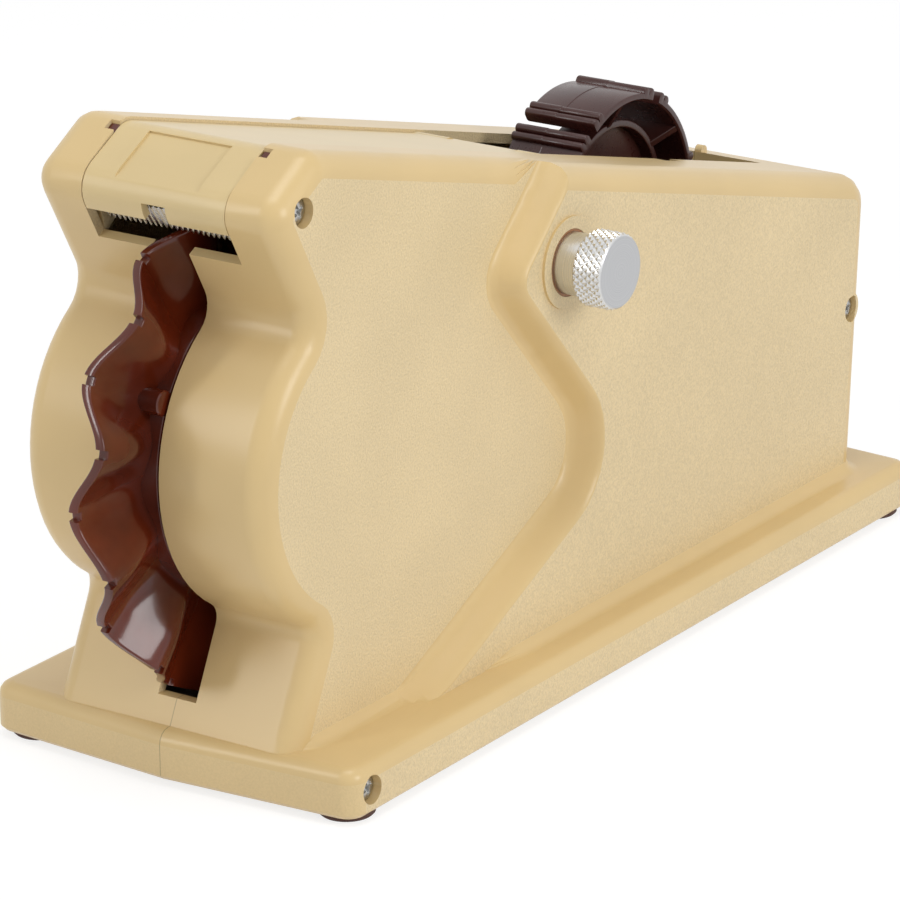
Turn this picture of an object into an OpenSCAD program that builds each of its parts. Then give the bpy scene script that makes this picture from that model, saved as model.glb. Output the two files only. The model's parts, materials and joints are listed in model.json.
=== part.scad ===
// Definite length tape dispenser: two moulded housing halves with a wide base,
// a wavy notched feed wheel in a front slot, a split core reel in an open well,
// a guide roller with a knurled knob, and a hinged nose cover over a toothed blade.
// Millimetres. X to the right, Y to the rear, Z up, origin on the floor under the middle.

/* [Base] */
// width of the base flange
base_w = 126; // [122:1:132]
// length of the base flange measured along the seam
base_l = 314; // [312:1:322]
// height of the base flange
base_h = 14.4; // [13.6:0.2:16]
// set back of each base end from the seam to the side, the mould draft
base_draft = 4.2; // [2:0.2:6]
// plan radius of the base corners
base_corner_r = 6; // [5:0.5:9]
// rounding of the upper base edge
base_edge_r = 4; // [2:0.5:4.5]
// hollow fillet between the body and the base
skirt_r = 4; // [3:0.5:5]
// rim of the base around the bottom plate
base_rim = 4; // [3.6:0.2:4.4]
// ledge of the base that carries the bottom plate
base_ledge = 2.5; // [2:0.1:3]
// thickness of the bottom plate
plate_t = 2; // [1.6:0.2:2.4]
// free height of the rubber feet under the base
foot_h = 2; // [1.5:0.5:3]
// diameter of the rubber feet
foot_d = 16; // [14:0.5:17]
// distance of the feet from the base sides
foot_in_x = 9.5; // [9:0.5:12]
// distance of the feet from the base ends
foot_in_y = 14; // [13.5:0.5:17]

/* [Body side view] */
// half width of the narrow front part
front_x = 41.5; // [40.5:0.5:42.5]
// half width of the wide rear part
rear_x = 50.5; // [49.5:0.5:51.5]
// height of the nose crest above the base underside
crest_z = 182; // [180:0.5:186]
// distance of the nose crest in front of the middle
crest_y = 133.5; // [132:0.5:135]
// fall of the top per millimetre towards the rear
top_fall = 0.27; // [0.26:0.005:0.285]
// run of the nose slope from the crest to the tip
slope_run = 22.5; // [22:0.5:23.5]
// fall of the nose slope from the crest to the tip
slope_fall = 13; // [12.5:0.5:13.5]
// run of the undercut nose face per millimetre of fall
nose_lean = 0.545; // [0.5:0.01:0.58]
// height of the wheel rim over the round bulge of the body
rim_out = 24.3; // [23.8:0.1:24.8]
// distance of the leg foot in front of the middle
leg_y = 152; // [150:0.5:153]
// lean of the leg per millimetre of height
leg_lean = 0.49; // [0.4:0.01:0.55]
// distance of the back face foot behind the middle
back_y = 136.5; // [134:0.5:138]
// lean of the back face per millimetre of height
back_lean = 0.08; // [0.04:0.01:0.1]
// rounding of nose crest and tip
nose_r = 8; // [7.5:0.5:9]
// hollow radius between nose and bulge
waist_r = 8; // [5:0.5:10]
// hollow radius between bulge and leg
ankle_r = 5; // [3:0.5:7]
// rounding of the top rear corner
back_r = 10; // [8:0.5:12]
// rounding of the long side edges
edge_r = 7; // [5:0.5:7]
// wall of the moulded halves
wall = 3; // [2.6:0.2:3.4]
// extra wall of the wide rear part
rear_more = 0.4; // [0.3:0.1:0.6]

/* [Side step] */
// run of the slope between the narrow and the wide part
ramp_run = 7; // [5:0.5:9]
// place of the step at the top, in front of the middle
step_top_y = 29; // [25:1:33]
// forward corner of the step, in front of the middle
step_nose_y = 60; // [57:1:63]
// depth of the forward corner under the top
step_drop = 37.7; // [36.2:0.5:39.2]
// rear corner of the step, in front of the middle
step_back_y = 3.3; // [2:0.1:6]
// height of the rear corner
step_back_z = 61.1; // [59:0.5:63]
// place of the step at the base, in front of the middle
step_low_y = 121.4; // [116:0.2:124]
// rounding of the forward corner
step_nose_r = 12; // [10:1:14]
// rounding of the rear corner
step_back_r = 17; // [14:1:20]
// height over which the slope fades out above the base
ramp_fade = 14; // [12:1:16]

/* [Nose and mouth] */
// half width of the mouth and the gap for the cover
mouth_x = 24.2; // [24:0.2:25]
// height of the nose tip over the lower edge of the cover
lip_drop = 8.6; // [8.2:0.2:8.8]
// height of the mouth between its sill and the cover
mouth_h = 9.4; // [9.2:0.2:10]
// wall of the cover
cover_t = 2.5; // [2.2:0.1:2.8]
// step of the cover below the side rails
cover_drop = 1; // [0.6:0.2:1.6]
// rear end of the cover deck, behind the middle
deck_y = 9; // [6:1:12]
// rear end of the open reel well, behind the middle
well_y = 122; // [120:0.5:123]
// diameter of the cover hinge pin
hinge_d = 4; // [3:0.5:4.5]
// width of each hinge knuckle of the cover
knuckle_w = 11.9; // [9:0.1:13]
// half width of the plain recessed panel
panel_x = 14; // [12:0.5:16]
// length of the panel along the slope
panel_l = 19; // [16:0.5:20]
// depth of the panel
panel_d = 0.7; // [0.4:0.1:1]
// half width of the notch over the blade
notch_x = 4; // [3:0.5:5]
// height of the notch
notch_h = 5; // [4:0.2:5.4]
// side of the square latch windows
window_s = 3.2; // [2.6:0.2:3.6]
// thickness of the inner walls beside the cover and the well
cheek_t = 2.8; // [2.4:0.2:3.2]
// depth of the inner walls under the cover
cheek_h = 16; // [14:0.5:18]
// depth of the inner walls under the reel axis
cheek_low = 18; // [14:1:22]
// height of the small round lug behind the reel well
lug_h = 1.8; // [1.4:0.2:2.4]
// radius of the lug
lug_r = 1.7; // [1.5:0.1:2]
// width of the lug
lug_w = 2.4; // [2:0.2:3]

/* [Wheel] */
// distance of the wheel axis behind the nose tip
wheel_in = 42; // [41.5:0.5:42.5]
// height of the wheel rim over the mouth sill
rim_rise = 10.8; // [10.4:0.1:11]
// height of the lowest point of the rim above the base underside
rim_low = 16.2; // [15.8:0.1:16.6]
// number of waves around the rim
waves = 12; // [10:1:14]
// side swing of the wave
wave_a = 4.3; // [3.5:0.1:4.5]
// thickness of the wavy rim
rim_t = 3; // [2.4:0.1:3.1]
// depth of the rim notches
rim_notch_d = 1.8; // [1:0.1:2.2]
// width of the rim notches
rim_notch_w = 2.5; // [2:0.1:3]
// height of the wavy flange over its drum
flange_h = 25.3; // [24.9:0.1:26.3]
// half width of the drum
drum_x = 5.4; // [5:0.1:5.6]
// radius of the wheel hub
hub_r = 12; // [11:0.5:14]
// half width of the wheel hub
hub_x = 13; // [12:0.5:13.5]
// diameter of the fixed wheel axle
axle_d = 10; // [9:0.5:11]
// half width of the front slot
slot_x = 6.6; // [6.4:0.1:7]
// height of the slot sill above the base underside
slot_z = 21.5; // [20:0.5:23]
// wall of the wheel bushes
bush_t = 2; // [1.5:0.1:2.5]
// thickness of the washers beside the hub
washer_t = 1.9; // [1.5:0.1:2.5]
// radius of the round peg on the drum edge
peg_r = 3.6; // [3:0.2:4]

/* [Reel] */
// distance of the reel axis behind the middle
reel_y = 65; // [63:1:67]
// depth of the reel axis under the line of the top
reel_drop = 18.4; // [17.8:0.2:19]
// outer radius over the gripping ridges, for a three inch core
reel_r = 38; // [37:0.2:38.4]
// half length of the reel
reel_x = 12.5; // [11:0.5:13]
// number of sprung segments
segments = 6; // [5:1:7]
// angle of the open slot between two segments
split_deg = 6; // [5:0.5:9]
// wall of the segments
segment_t = 2.4; // [2:0.1:3]
// height of the round gripping ridges
ridge_h = 1.8; // [1.4:0.1:2]
// radius of the round gripping ridges
ridge_r = 1.3; // [1.2:0.05:1.4]
// radius of the cupped hub
cup_r = 27; // [25:0.5:28]
// half length of the cupped hub
cup_x = 6.5; // [5.5:0.5:8]
// wall of the cupped hub and of the webs between hub and segments
web_t = 2.2; // [1.8:0.1:2.6]
// diameter of the reel axle
reel_axle_d = 8; // [7:0.5:9]

/* [Roller and knob] */
// distance of the roller axis behind the wheel axis
roller_back = 87.2; // [86.4:0.2:88]
// depth of the roller axis under the top
roller_drop = 28.5; // [28.1:0.1:29.1]
// radius of the guide roller
roller_r = 11; // [9:0.5:11.5]
// half length of the guide roller
roller_x = 14; // [13:0.5:15]
// diameter of the roller shaft
roller_shaft_d = 8; // [7:0.5:9]
// diameter of the knob shank
shank_d = 18; // [16:0.5:19]
// diameter of the knurled knob head
knob_d = 22.5; // [21:0.5:24]
// length of the knob head
knob_l = 9.6; // [8:0.2:11]
// open length of the shank between the side and the head
shank_open = 8; // [6:0.5:10]
// number of knurl teeth
knurls = 48; // [40:2:56]
// depth of the knurl teeth
knurl_d = 0.45; // [0.3:0.05:0.6]
// bevel of the knob head
knob_bevel = 1; // [0.6:0.1:1.2]
// length of the shank inside the side
shank_in = 16; // [15:0.5:17]
// distance of the cross pin inside the side
pin_in = 12; // [11.5:0.5:12.5]
// wall of the bush round the shank
collar_t = 0.9; // [0.8:0.1:1.2]
// diameter of the cross pin in the knob
pin_d = 3; // [2.5:0.5:3.5]
// middle radius of the drag spring
coil_r = 6.2; // [6:0.1:7]
// wire radius of the drag spring
wire_r = 0.5; // [0.4:0.05:0.6]
// number of curls of the drag spring
coils = 5; // [4:1:6]
// free length of the drag spring
coil_l = 11.2; // [10:0.2:12]
// thickness of the friction washer
felt_t = 2.5; // [2:0.1:3]

/* [Blade] */
// half width of the blade
blade_x = 22; // [20:0.5:23]
// number of teeth
teeth = 25; // [21:1:29]
// height of the blade along its slope
blade_l = 8.7; // [8.3:0.1:8.8]
// thickness of the blade over its ribs
blade_t = 0.9; // [0.7:0.1:1.1]
// height of the teeth
tooth_h = 1.9; // [1.2:0.1:2.2]
// lean of the blade from upright, top forwards
blade_a = 35; // [34.5:0.5:36]
// distance of the tooth tips behind the lower edge of the cover
blade_in = 6.8; // [6.7:0.1:7]
// depth of the tooth tips under the lower edge of the cover
blade_low = 3.9; // [3.8:0.1:4.1]
// height of the lower edge of the blade holder over the tooth tips
holder_low = 3; // [2.6:0.2:3.4]
// thickness of the blade holder
holder_t = 3.5; // [3:0.1:4]
// height of the blade rivets over the tooth tips
rivet_y = 6.3; // [6:0.1:6.4]
// distance of the blade rivets from the middle
rivet_x = 15; // [12:0.5:17]
// diameter of the blade rivets
rivet_d = 3; // [2.4:0.2:3.2]

/* [Fixings and fits] */
// diameter of the case screws
screw_d = 4; // [3.5:0.5:4.5]
// diameter of the screw counterbores
bore_d = 8.4; // [8:0.2:9]
// depth of the screw counterbores
bore_depth = 4.5; // [4:0.5:6]
// diameter of the screw heads
head_d = 7.8; // [7:0.2:7.8]
// diameter of the screw inserts
insert_d = 6.4; // [6:0.2:6.8]
// length of the screw inserts
insert_l = 10; // [8:0.5:12]
// height of the rear case screw above the base underside
rear_screw_z = 67; // [60:1:75]
// play between cover and housing, and other loose parts
play = 0.3; // [0.25:0.05:0.4]
// radial play of a running shaft
run_fit = 0.05; // [0.03:0.01:0.08]
// radial play of a seated part
seat_fit = 0.02; // [0.01:0.01:0.04]

/* [Hidden] */
$fn = 64;

// heights and places that follow from the nose crest
tip_y = crest_y + slope_run;
tip_z = crest_z - slope_fall;
lip_z = tip_z - lip_drop;
sill_z = lip_z - mouth_h;
wheel_r = (sill_z + rim_rise - rim_low) / 2;
wheel_z = rim_low + wheel_r;
wheel_y = tip_y - wheel_in;
bulge_r = wheel_r - rim_out;
drum_r = wheel_r - flange_h;
roller_y = wheel_y - roller_back;
roller_z = top_z(-roller_y) - roller_drop;
reel_z = top_z(reel_y) - reel_drop;
cheek_z = reel_z - cheek_low;
step_nose_z = top_z(-step_nose_y) - step_drop;

// points of the side view, as distance to the rear and height
wheel_c = [-wheel_y, wheel_z];
crest = [-crest_y, crest_z];
tip = [-tip_y, tip_z];
low_z = base_h - 6;
leg_foot = [-leg_y, base_h];
leg_low = [-leg_y, low_z];
back_foot = [back_y, low_z];
back_z = (crest_z - top_fall * (back_y + crest_y) - low_z) / (1 + top_fall * back_lean) + low_z;
back_top = [back_y + back_lean * (back_z - low_z), back_z];
step_top = [-step_top_y, crest_z - top_fall * (crest_y - step_top_y)];
step_low = [-step_low_y, low_z];
step_back = [-step_back_y, step_back_z];
step_nose = [-step_nose_y, step_nose_z];
reel_c = [reel_y, reel_z];
roller_c = [-roller_y, roller_z];

function top_z(y) = crest_z - top_fall * (y + crest_y);
function unit(v) = v / norm(v);
function left_of(a, b) = let (u = unit(b - a)) [-u[1], u[0]];
function ang(v) = atan2(v[1], v[0]);
function pol(r, a) = r * [cos(a), sin(a)];

// points on an arc about c
function arc(c, r, a0, a1, n) = [for (i = [0:n]) c + pol(r, a0 + (a1 - a0) * i / n)];

// rounded corner at b between the lines to a and c
function corner(a, b, c, r, n) =
  let (u = unit(a - b), v = unit(c - b), h = acos(u * v) / 2)
  let (m = b + unit(u + v) * r / sin(h), l = r / tan(h), a0 = ang(b + u * l - m), a1 = ang(b + v * l - m))
  arc(m, r, a0, a0 + (a1 - a0 + 540) % 360 - 180, n);

// straight run from a to b in steps no longer than s, without its end
function steps(a, b, s) = max(1, ceil(norm(b - a) / s));
function run(a, b, s) = let (n = steps(a, b, s)) [for (i = [0:n - 1]) a + (b - a) * i / n];

// inner points of the straight run from a to b
function between(a, b, s) = let (n = steps(a, b, s)) [for (i = [1:1:n - 1]) a + (b - a) * i / n];

// offset vertex where the lines with normals n0 and n1 are moved by d0 and d1
function meet(p, n0, d0, n1, d1) = let (k = n0[0] * n1[1] - n0[1] * n1[0])
  abs(k) < 0.03 ? p + unit(n0 + n1) * (d0 + d1) / 2
    : p + [d0 * n1[1] - d1 * n0[1], n0[0] * d1 - n1[0] * d0] / k;

// closed outline moved inwards, one distance for each edge
function inset(p, d) = let (n = len(p)) [for (i = [0:n - 1]) let (h = (i + n - 1) % n, j = (i + 1) % n)
  meet(p[i], left_of(p[h], p[i]), d[h], left_of(p[i], p[j]), d[i])];

// running length at every point of a path, and the point at a given length
function lengths(p) = [for (i = 0, s = 0; i < len(p); s = s + (i + 1 < len(p) ? norm(p[i + 1] - p[i]) : 0),
    i = i + 1) s];
function point_at(p, c, s, i = 0) = i >= len(p) - 2 || c[i + 1] >= s
  ? p[i] + (p[i + 1] - p[i]) * (s - c[i]) / (c[i + 1] - c[i]) : point_at(p, c, s, i + 1);

// hollow fillets where the straight nose and leg faces run into the round bulge
nose_u = unit([nose_lean, -1]);
nose_n = [nose_u[1], -nose_u[0]];
leg_u = unit([-leg_lean, -1]);
leg_n = [leg_u[1], -leg_u[0]];
function tangent(q, u, r, s) = -q * u + s * sqrt(pow(q * u, 2) - q * q + pow(bulge_r + r, 2));
function touch(p, n, u, r, s) = let (q = p + n * r - wheel_c) wheel_c + q + tangent(q, u, r, s) * u;
waist_c = touch(tip, nose_n, nose_u, waist_r, -1);
ankle_c = touch(leg_foot, leg_n, leg_u, ankle_r, 1);

// front outline from the top of the step round the nose, bulge and leg to the base
function front_path(s) = let (
    waist = waist_c - nose_n * waist_r,
    c1 = corner(step_top, crest, tip, nose_r, 4),
    c2 = corner(crest, tip, waist, nose_r, 6),
    a0 = ang(-nose_n), a1 = ang(wheel_c - waist_c),
    b0 = ang(waist_c - wheel_c), b1 = ang(ankle_c - wheel_c) + 360,
    d0 = ang(wheel_c - ankle_c), d1 = ang(-leg_n))
  concat([step_top], run(step_top + unit(crest - step_top) * 10, c1[0], s), c1, between(c1[4], c2[0], s),
    c2, between(c2[6], waist, s), arc(waist_c, waist_r, a0, a1, 6),
    [for (i = [1:21]) wheel_c + pol(bulge_r, b0 + (b1 - b0) * i / 22)],
    arc(ankle_c, ankle_r, d0, d1, 5), between(ankle_c - leg_n * ankle_r, leg_foot, s),
    run(leg_foot, leg_low, s), run(leg_low, step_low, s));
back_path = concat([step_low, back_foot], corner(back_foot, back_top, step_top, back_r, 6));

// line of the step between the narrow and the wide part, matched point by point to the front outline
step_path = concat([step_top], corner(step_top, step_nose, step_back, step_nose_r, 8),
  corner(step_nose, step_back, step_low, step_back_r, 8), [step_low]);
front_pts = front_path(5);
front_n = len(front_pts);
front_len = lengths(concat(front_pts, [step_low]));
step_len = lengths(step_path);
step_pts = [for (i = [0:front_n - 1])
  point_at(step_path, step_len, front_len[i] / front_len[front_n] * step_len[len(step_len) - 1])];
back_n = len(back_path);

function at_x(x, p) = [for (q = p) [x, q[0], q[1]]];
function at_z(z, p) = [for (q = p) [q[0], q[1], z]];
function fillet_in(r, h) = h <= 0 ? 0 : r - sqrt(max(0, r * r - h * h));

// edges of the front outline that are rounded, the ones inside the base are not
function front_d(d) = [for (i = [0:front_n - 1]) front_pts[i][1] < base_h - 1 ? 0 : d];
function back_d(d) = [for (i = [0:back_n - 1]) i == 0 ? 0 : d];
function front_ring(d) = let (p = inset(concat(front_pts, back_path), concat(front_d(d), back_d(0))))
  [for (i = [0:len(p) - 1]) i == 0 ? step_top : p[i]];
function step_ring(d, e) = inset(concat(step_pts, back_path), concat(
  [for (p = step_pts) d * min(1, (p[1] - low_z) / ramp_fade)], back_d(e)));
ramp_steps = [[0.2, 0.07], [0.4, 0.29], [0.6, 0.62], [0.78, 0.86], [0.92, 0.97], [1, 1]];
body_rings = concat([at_x(0, front_ring(0)), at_x(front_x - edge_r, front_ring(0))],
  [for (a = [18:18:90]) at_x(front_x - edge_r + edge_r * sin(a), front_ring(edge_r * (1 - cos(a))))],
  [at_x(front_x, step_ring(0, 0))],
  [for (s = ramp_steps) let (x = front_x + (rear_x - front_x) * s[1])
    at_x(x, step_ring(ramp_run * s[0], fillet_in(edge_r, x - rear_x + edge_r)))]);

// plan outline of one half of the base
base_x = base_w / 2;
base_pts = concat([[0, -base_l / 2]],
  corner([0, -base_l / 2], [base_x, base_draft - base_l / 2], [base_x, 0], base_corner_r, 6),
  corner([base_x, 0], [base_x, base_l / 2 - base_draft], [0, base_l / 2], base_corner_r, 6),
  [[0, base_l / 2]]);
base_last = len(base_pts) - 1;
function base_ring(d) = inset(base_pts, [for (i = [0:base_last]) i == base_last ? 0 : d]);
base_low_r = 1.2;
base_rings = concat([at_z(0, base_ring(base_low_r)), at_z(base_low_r, base_ring(0))],
  [for (a = [0:22.5:90])
    at_z(base_h - base_edge_r * (1 - sin(a)), base_ring(base_edge_r * (1 - cos(a))))]);

// place of the side step at a height h above its low end, s is the share of the slope
function step_at(h, s) = let (u = unit(step_back - step_low), n = [u[1], -u[0]], d = ramp_run * s,
    q0 = h / (1 + n[1] * d / ramp_fade), q = q0 < ramp_fade ? q0 : h - n[1] * d)
  -step_low_y + q * u[0] / u[1] + n[0] * d * min(1, q / ramp_fade);

// hollow fillets round the foot of the body: plan outlines moved out by d at a height h above the base
// the front one runs from inside the leg to under the slope of the side step
// the rear one grows out of the side behind that slope
skirt_y0 = step_at(base_h - low_z, 1) + 3;
skirt_y1 = step_at(base_h - low_z + skirt_r, 1) + 2.5;
skirt_grow = 25;
skirt_sink = 1.5;
function skirt_front(d, h) = let (y0 = 3 - leg_y + leg_lean * h, xf = front_x + d)
  at_z(base_h + h, concat([[0, y0]], corner([0, y0], [xf, y0], [xf, 0], edge_r + d, 5),
    [[xf, skirt_y0], [0, skirt_y0]]));
function skirt_rear(d, h) = let (y1 = back_y + back_lean * (base_h + h - low_z) + d, xr = rear_x + d)
  at_z(base_h + h, concat([[0, skirt_y1], [rear_x - skirt_sink, skirt_y1], [xr, skirt_y1 + skirt_grow]],
    corner([xr, 0], [xr, y1], [0, y1], edge_r + d, 5), [[0, y1]]));
skirt_steps = concat([[skirt_r, -1]],
  [for (a = [0:18:72]) skirt_r * [1 - sin(a), 1 - cos(a)]], [[-skirt_sink, skirt_r]]);

// closed solid through rings of equal length, each end is a fan about a point inside the ring
function middle(ring) = [for (k = [0:2]) [for (p = ring) p[k]] * [for (p = ring) 1] / len(ring)];
module loft(rings, ends) {
  n = len(rings[0]);
  m = len(rings);
  c = is_undef(ends) ? [middle(rings[0]), middle(rings[m - 1])] : ends;
  polyhedron(points = concat([for (r = rings) each r], c), convexity = 10, faces = concat(
    [for (i = [0:n - 1]) [n * m, i, (i + 1) % n]],
    [for (j = [0:m - 2], i = [0:n - 1], t = [0, 1]) let (k = (i + 1) % n)
      t == 0 ? [j * n + i, (j + 1) * n + i, (j + 1) * n + k] : [j * n + i, (j + 1) * n + k, j * n + k]],
    [for (i = [0:n - 1]) [n * m + 1, (m - 1) * n + (i + 1) % n, (m - 1) * n + i]]));
}

// side view outline made solid between two X positions
module along_x(x0, x1) {
  translate([x0, 0, 0]) rotate([90, 0, 90]) linear_extrude(x1 - x0) children();
}

// round bar along X at a side view point
module rod(c, r, x0, x1) {
  translate([x0, c[0], c[1]]) rotate([0, 90, 0]) cylinder(r = r, h = x1 - x0);
}

// hollow round bar along X
module tube(c, r, r_in, x0, x1) {
  difference() {
    rod(c, r, x0, x1);
    rod(c, r_in, x0 - 1, x1 + 1);
  }
}

module on_feet() {
  translate([0, 0, foot_h]) children();
}

// places of the case screws in the side view, the head plane and the inner end of each boss
screw_nose = tip + [14.8, -2];
screw_base = [13 - base_l / 2, base_h - 7.4];
screw_rear = [back_y - 2.5, rear_screw_z];
screw_hole = screw_d / 2 + 0.2;
knuckle_r = hinge_d / 2 + 2;
hinge_c = [deck_y - 4.5, top_z(deck_y - 4.5) - cover_drop - cover_t - 1.2];
foot_r = foot_d / 2;
foot_x = base_x - foot_in_x;
foot_y = base_l / 2 - foot_in_y;
rim_x = base_x - base_rim;
rim_y = base_l / 2 - base_draft - base_rim;
foot_screw_r = 1.5;
lug_y = well_y + 0.2;
head_r = head_d / 2;
insert_r = insert_d / 2;
cheek_x = mouth_x + cheek_t;
collar_r = shank_d / 2 + collar_t;
pin_x = rear_x - pin_in;
coil_x1 = -roller_x - play - felt_t;
coil_x0 = coil_x1 - coil_l;
sill = [-(tip_y - nose_lean * (tip_z - sill_z)), sill_z];
sill_u = unit([1, 0.54]);

// wall left on each edge of an outline, edges low in the base open into the hollow of the base
function walls(p, d) = [for (i = [0:len(p) - 1])
  max(p[i][1], p[(i + 1) % len(p)][1]) < base_h - 1 ? 1 : d];

// everything hollow in one half
module half_hollow() {
  front = concat(front_path(400), back_path);
  rear = concat(step_path, [for (i = [1:back_n - 1]) back_path[i]]);
  n = len(step_path) - 1;
  along_x(-1, front_x - wall) polygon(inset(front, walls(front, wall)));
  along_x(20, rear_x - wall)
    polygon(inset(rear, [for (i = [0:len(rear) - 1])
      i < n ? ramp_run + wall - 1 : walls(rear, wall + rear_more)[i]]));
  translate([-1, base_ledge - rim_y, -1])
    cube([1 + rim_x - base_ledge, 2 * (rim_y - base_ledge), 1 + base_h - wall]);
  translate([-1, -rim_y, -1]) cube([1 + rim_x, 2 * rim_y, 1 + plate_t]);
}

// inner wall beside the cover and the reel well
module cheek() {
  rear_y = back_top[0] - 2.5;
  nose_y = 8 - crest_y;
  along_x(mouth_x, cheek_x) polygon([[-crest_y - 14, lip_z + 11], [-crest_y, crest_z - 2],
    [rear_y, top_z(rear_y) - 5.7], [rear_y - 1, cheek_z], [reel_y - 22, cheek_z],
    [deck_y + 2, top_z(deck_y) - cheek_h + 1], [nose_y, top_z(nose_y) - cheek_h], sill + [3, 0]]);
}

// bosses that stand inside one half, drawn for the right side
module half_bosses(right) {
  rod(wheel_c, axle_d / 2 + 5, hub_x + play + washer_t, front_x - 1);
  rod(screw_nose, 5.5, cheek_x - 1, front_x - 1);
  rod(screw_base, 4.4, 0, base_x - 3);
  rod(screw_rear, 5.5, 0, rear_x - 1);
  rod(roller_c, right ? collar_r + 2.4 : 9, right ? 36 : -coil_x0, rear_x - 1);
  for (y = [-foot_y, foot_y])
    translate([foot_x, y, plate_t]) cylinder(r = foot_screw_r + 3, h = base_h - 1 - plate_t);
}

module half_cuts(right) {
  // mouth, cover gap and reel well through nose and top
  along_x(-1, mouth_x) polygon([sill - sill_u * 20, [-tip_y - 20, tip_z + 20], [-crest_y, crest_z + 20],
    [well_y, crest_z], [well_y, top_z(well_y) - 12], [-crest_y + 10, top_z(10 - crest_y) - 12],
    sill + sill_u * 10]);
  // front slot for the wheel
  translate([-1, -tip_y - 20, slot_z]) cube([1 + slot_x, 50, sill_z + 8 - slot_z]);
  // latch window beside the cover
  translate([mouth_x - 0.1, -crest_y - 1.5 - window_s, crest_z - 9]) cube([window_s, window_s, 12]);
  // seats of the wheel axle, reel axle and hinge pin
  rod(wheel_c, axle_d / 2 + seat_fit, 0, front_x - 5);
  along_x(mouth_x - 1, cheek_x + 1) union() {
    translate(reel_c) circle(r = reel_axle_d / 2 + seat_fit);
    translate([reel_y - reel_axle_d / 2 - seat_fit, reel_z]) square([reel_axle_d + 2 * seat_fit, 40]);
  }
  rod(hinge_c, hinge_d / 2 + seat_fit, mouth_x - 1, cheek_x + 1);
  // case screws
  for (s = [[screw_nose, front_x], [screw_base, base_x], [screw_rear, rear_x]]) {
    rod(s[0], screw_hole, -1, s[1] + 1);
    if (right) rod(s[0], bore_d / 2, s[1] - bore_depth, s[1] + 1);
  }
  if (!right) {
    rod(screw_nose, insert_r + seat_fit, cheek_x - 2, mouth_x + insert_l);
    rod(screw_base, insert_r + seat_fit, -1, insert_l);
    rod(screw_rear, insert_r + seat_fit, -1, insert_l);
  }
  for (y = [-foot_y, foot_y])
    translate([foot_x, y, -1]) cylinder(r = foot_screw_r + 0.1, h = 3.4 + plate_t);
}

// small rounded lug at the rear of the reel well
module lug() {
  z = top_z(lug_y) + lug_h - lug_r;
  along_x(0, lug_w) {
    translate([lug_y, z - 4]) square([2 * lug_r, 4]);
    translate([lug_y + lug_r, z]) circle(r = lug_r);
  }
}

module half(right) {
  difference() {
    union() {
      difference() {
        union() {
          loft(body_rings, [[0, wheel_c[0] + wheel_in / 3, wheel_z], [rear_x, reel_y, 2 * base_h]]);
          loft(base_rings);
          loft([for (k = skirt_steps) skirt_front(k[0], k[1])]);
          loft([for (k = skirt_steps) skirt_rear(k[0], k[1])]);
        }
        half_hollow();
      }
      cheek();
      half_bosses(right);
      if (right) rod(roller_c, collar_r + 3.6, rear_x - 1, rear_x + 0.8);
      if (right) lug();
    }
    half_cuts(right);
    if (right) rod(roller_c, collar_r, 30, rear_x + 2);
    if (!right) rod(roller_c, roller_shaft_d / 2 + run_fit, 20, rear_x - 6);
  }
}

module housing_right() {
  color("#dcc69f") on_feet() half(true);
}

module housing_left() {
  color("#dcc69f") on_feet() mirror([1, 0, 0]) half(false);
}

// nose cover with its deck, hinged at the rear end
cover_x = mouth_x - play;
cover_lip = [-(tip_y - nose_lean * (tip_z - lip_z)), lip_z];
deck_end = [deck_y, top_z(deck_y) - cover_drop];
cover_crest = [-crest_y, crest_z - cover_drop];
module top_cover() {
  c_tip = corner(cover_crest, tip, cover_lip, nose_r, 6);
  c_top = corner(deck_end, cover_crest, tip, nose_r, 4);
  c_out = concat([cover_lip], [for (i = [6:-1:0]) c_tip[i]], [for (i = [4:-1:0]) c_top[i]], [deck_end]);
  n = len(c_out);
  c_in = [for (i = [0:n - 1])
    let (a = c_out[max(0, i - 1)], b = c_out[i], c = c_out[min(n - 1, i + 1)],
      u = i == 0 ? left_of(c, b) : left_of(b, a), v = i == n - 1 ? u : left_of(c, b))
    meet(b, u, cover_t, v, cover_t)];
  slope_u = unit(tip - cover_crest);
  slope_n = [slope_u[1], -slope_u[0]];
  panel_c = (tip + cover_crest) / 2 + slope_u * -1;
  color("#d9c498") on_feet() difference() {
    union() {
      along_x(-cover_x, cover_x) polygon(concat(c_out, [for (i = [n - 1:-1:0]) c_in[i]]));
      for (x = [-cover_x, cover_x - knuckle_w]) {
        rod(hinge_c, knuckle_r, x, x + knuckle_w);
        along_x(x, x + knuckle_w) polygon([hinge_c - [knuckle_r, 0], hinge_c + [knuckle_r, 0],
          [hinge_c[0] + knuckle_r, deck_end[1] - 0.8], [hinge_c[0] - knuckle_r, deck_end[1] + 0.4]]);
      }
    }
    rod(hinge_c, hinge_d / 2 + run_fit, -40, 40);
    translate([-notch_x, -tip_y - 10, lip_z - 5]) cube([2 * notch_x, 20, 5 + notch_h]);
    along_x(-panel_x, panel_x)
      polygon([for (k = [[1, 9], [1, -panel_d], [-1, -panel_d], [-1, 9]])
        panel_c + slope_u * k[0] * panel_l / 2 + slope_n * k[1]]);
  }
}

module cover_hinge_pin() {
  color("#b9bcc0") on_feet() rod(hinge_c, hinge_d / 2, -cheek_x - 0.5, cheek_x + 0.5);
}

// blade frame: tooth tips on the X axis, blade rising along local Y, back face along local Z
blade_tip = cover_lip + [blade_in, -blade_low];
rivet_l = blade_t + 2;
module on_blade() {
  translate([0, blade_tip[0], blade_tip[1]]) rotate([90 + blade_a, 0, 0]) mirror([0, 0, 1]) children();
}

module at_rivets(z) {
  for (x = [-rivet_x, rivet_x]) translate([x, rivet_y, z]) children();
}

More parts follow.
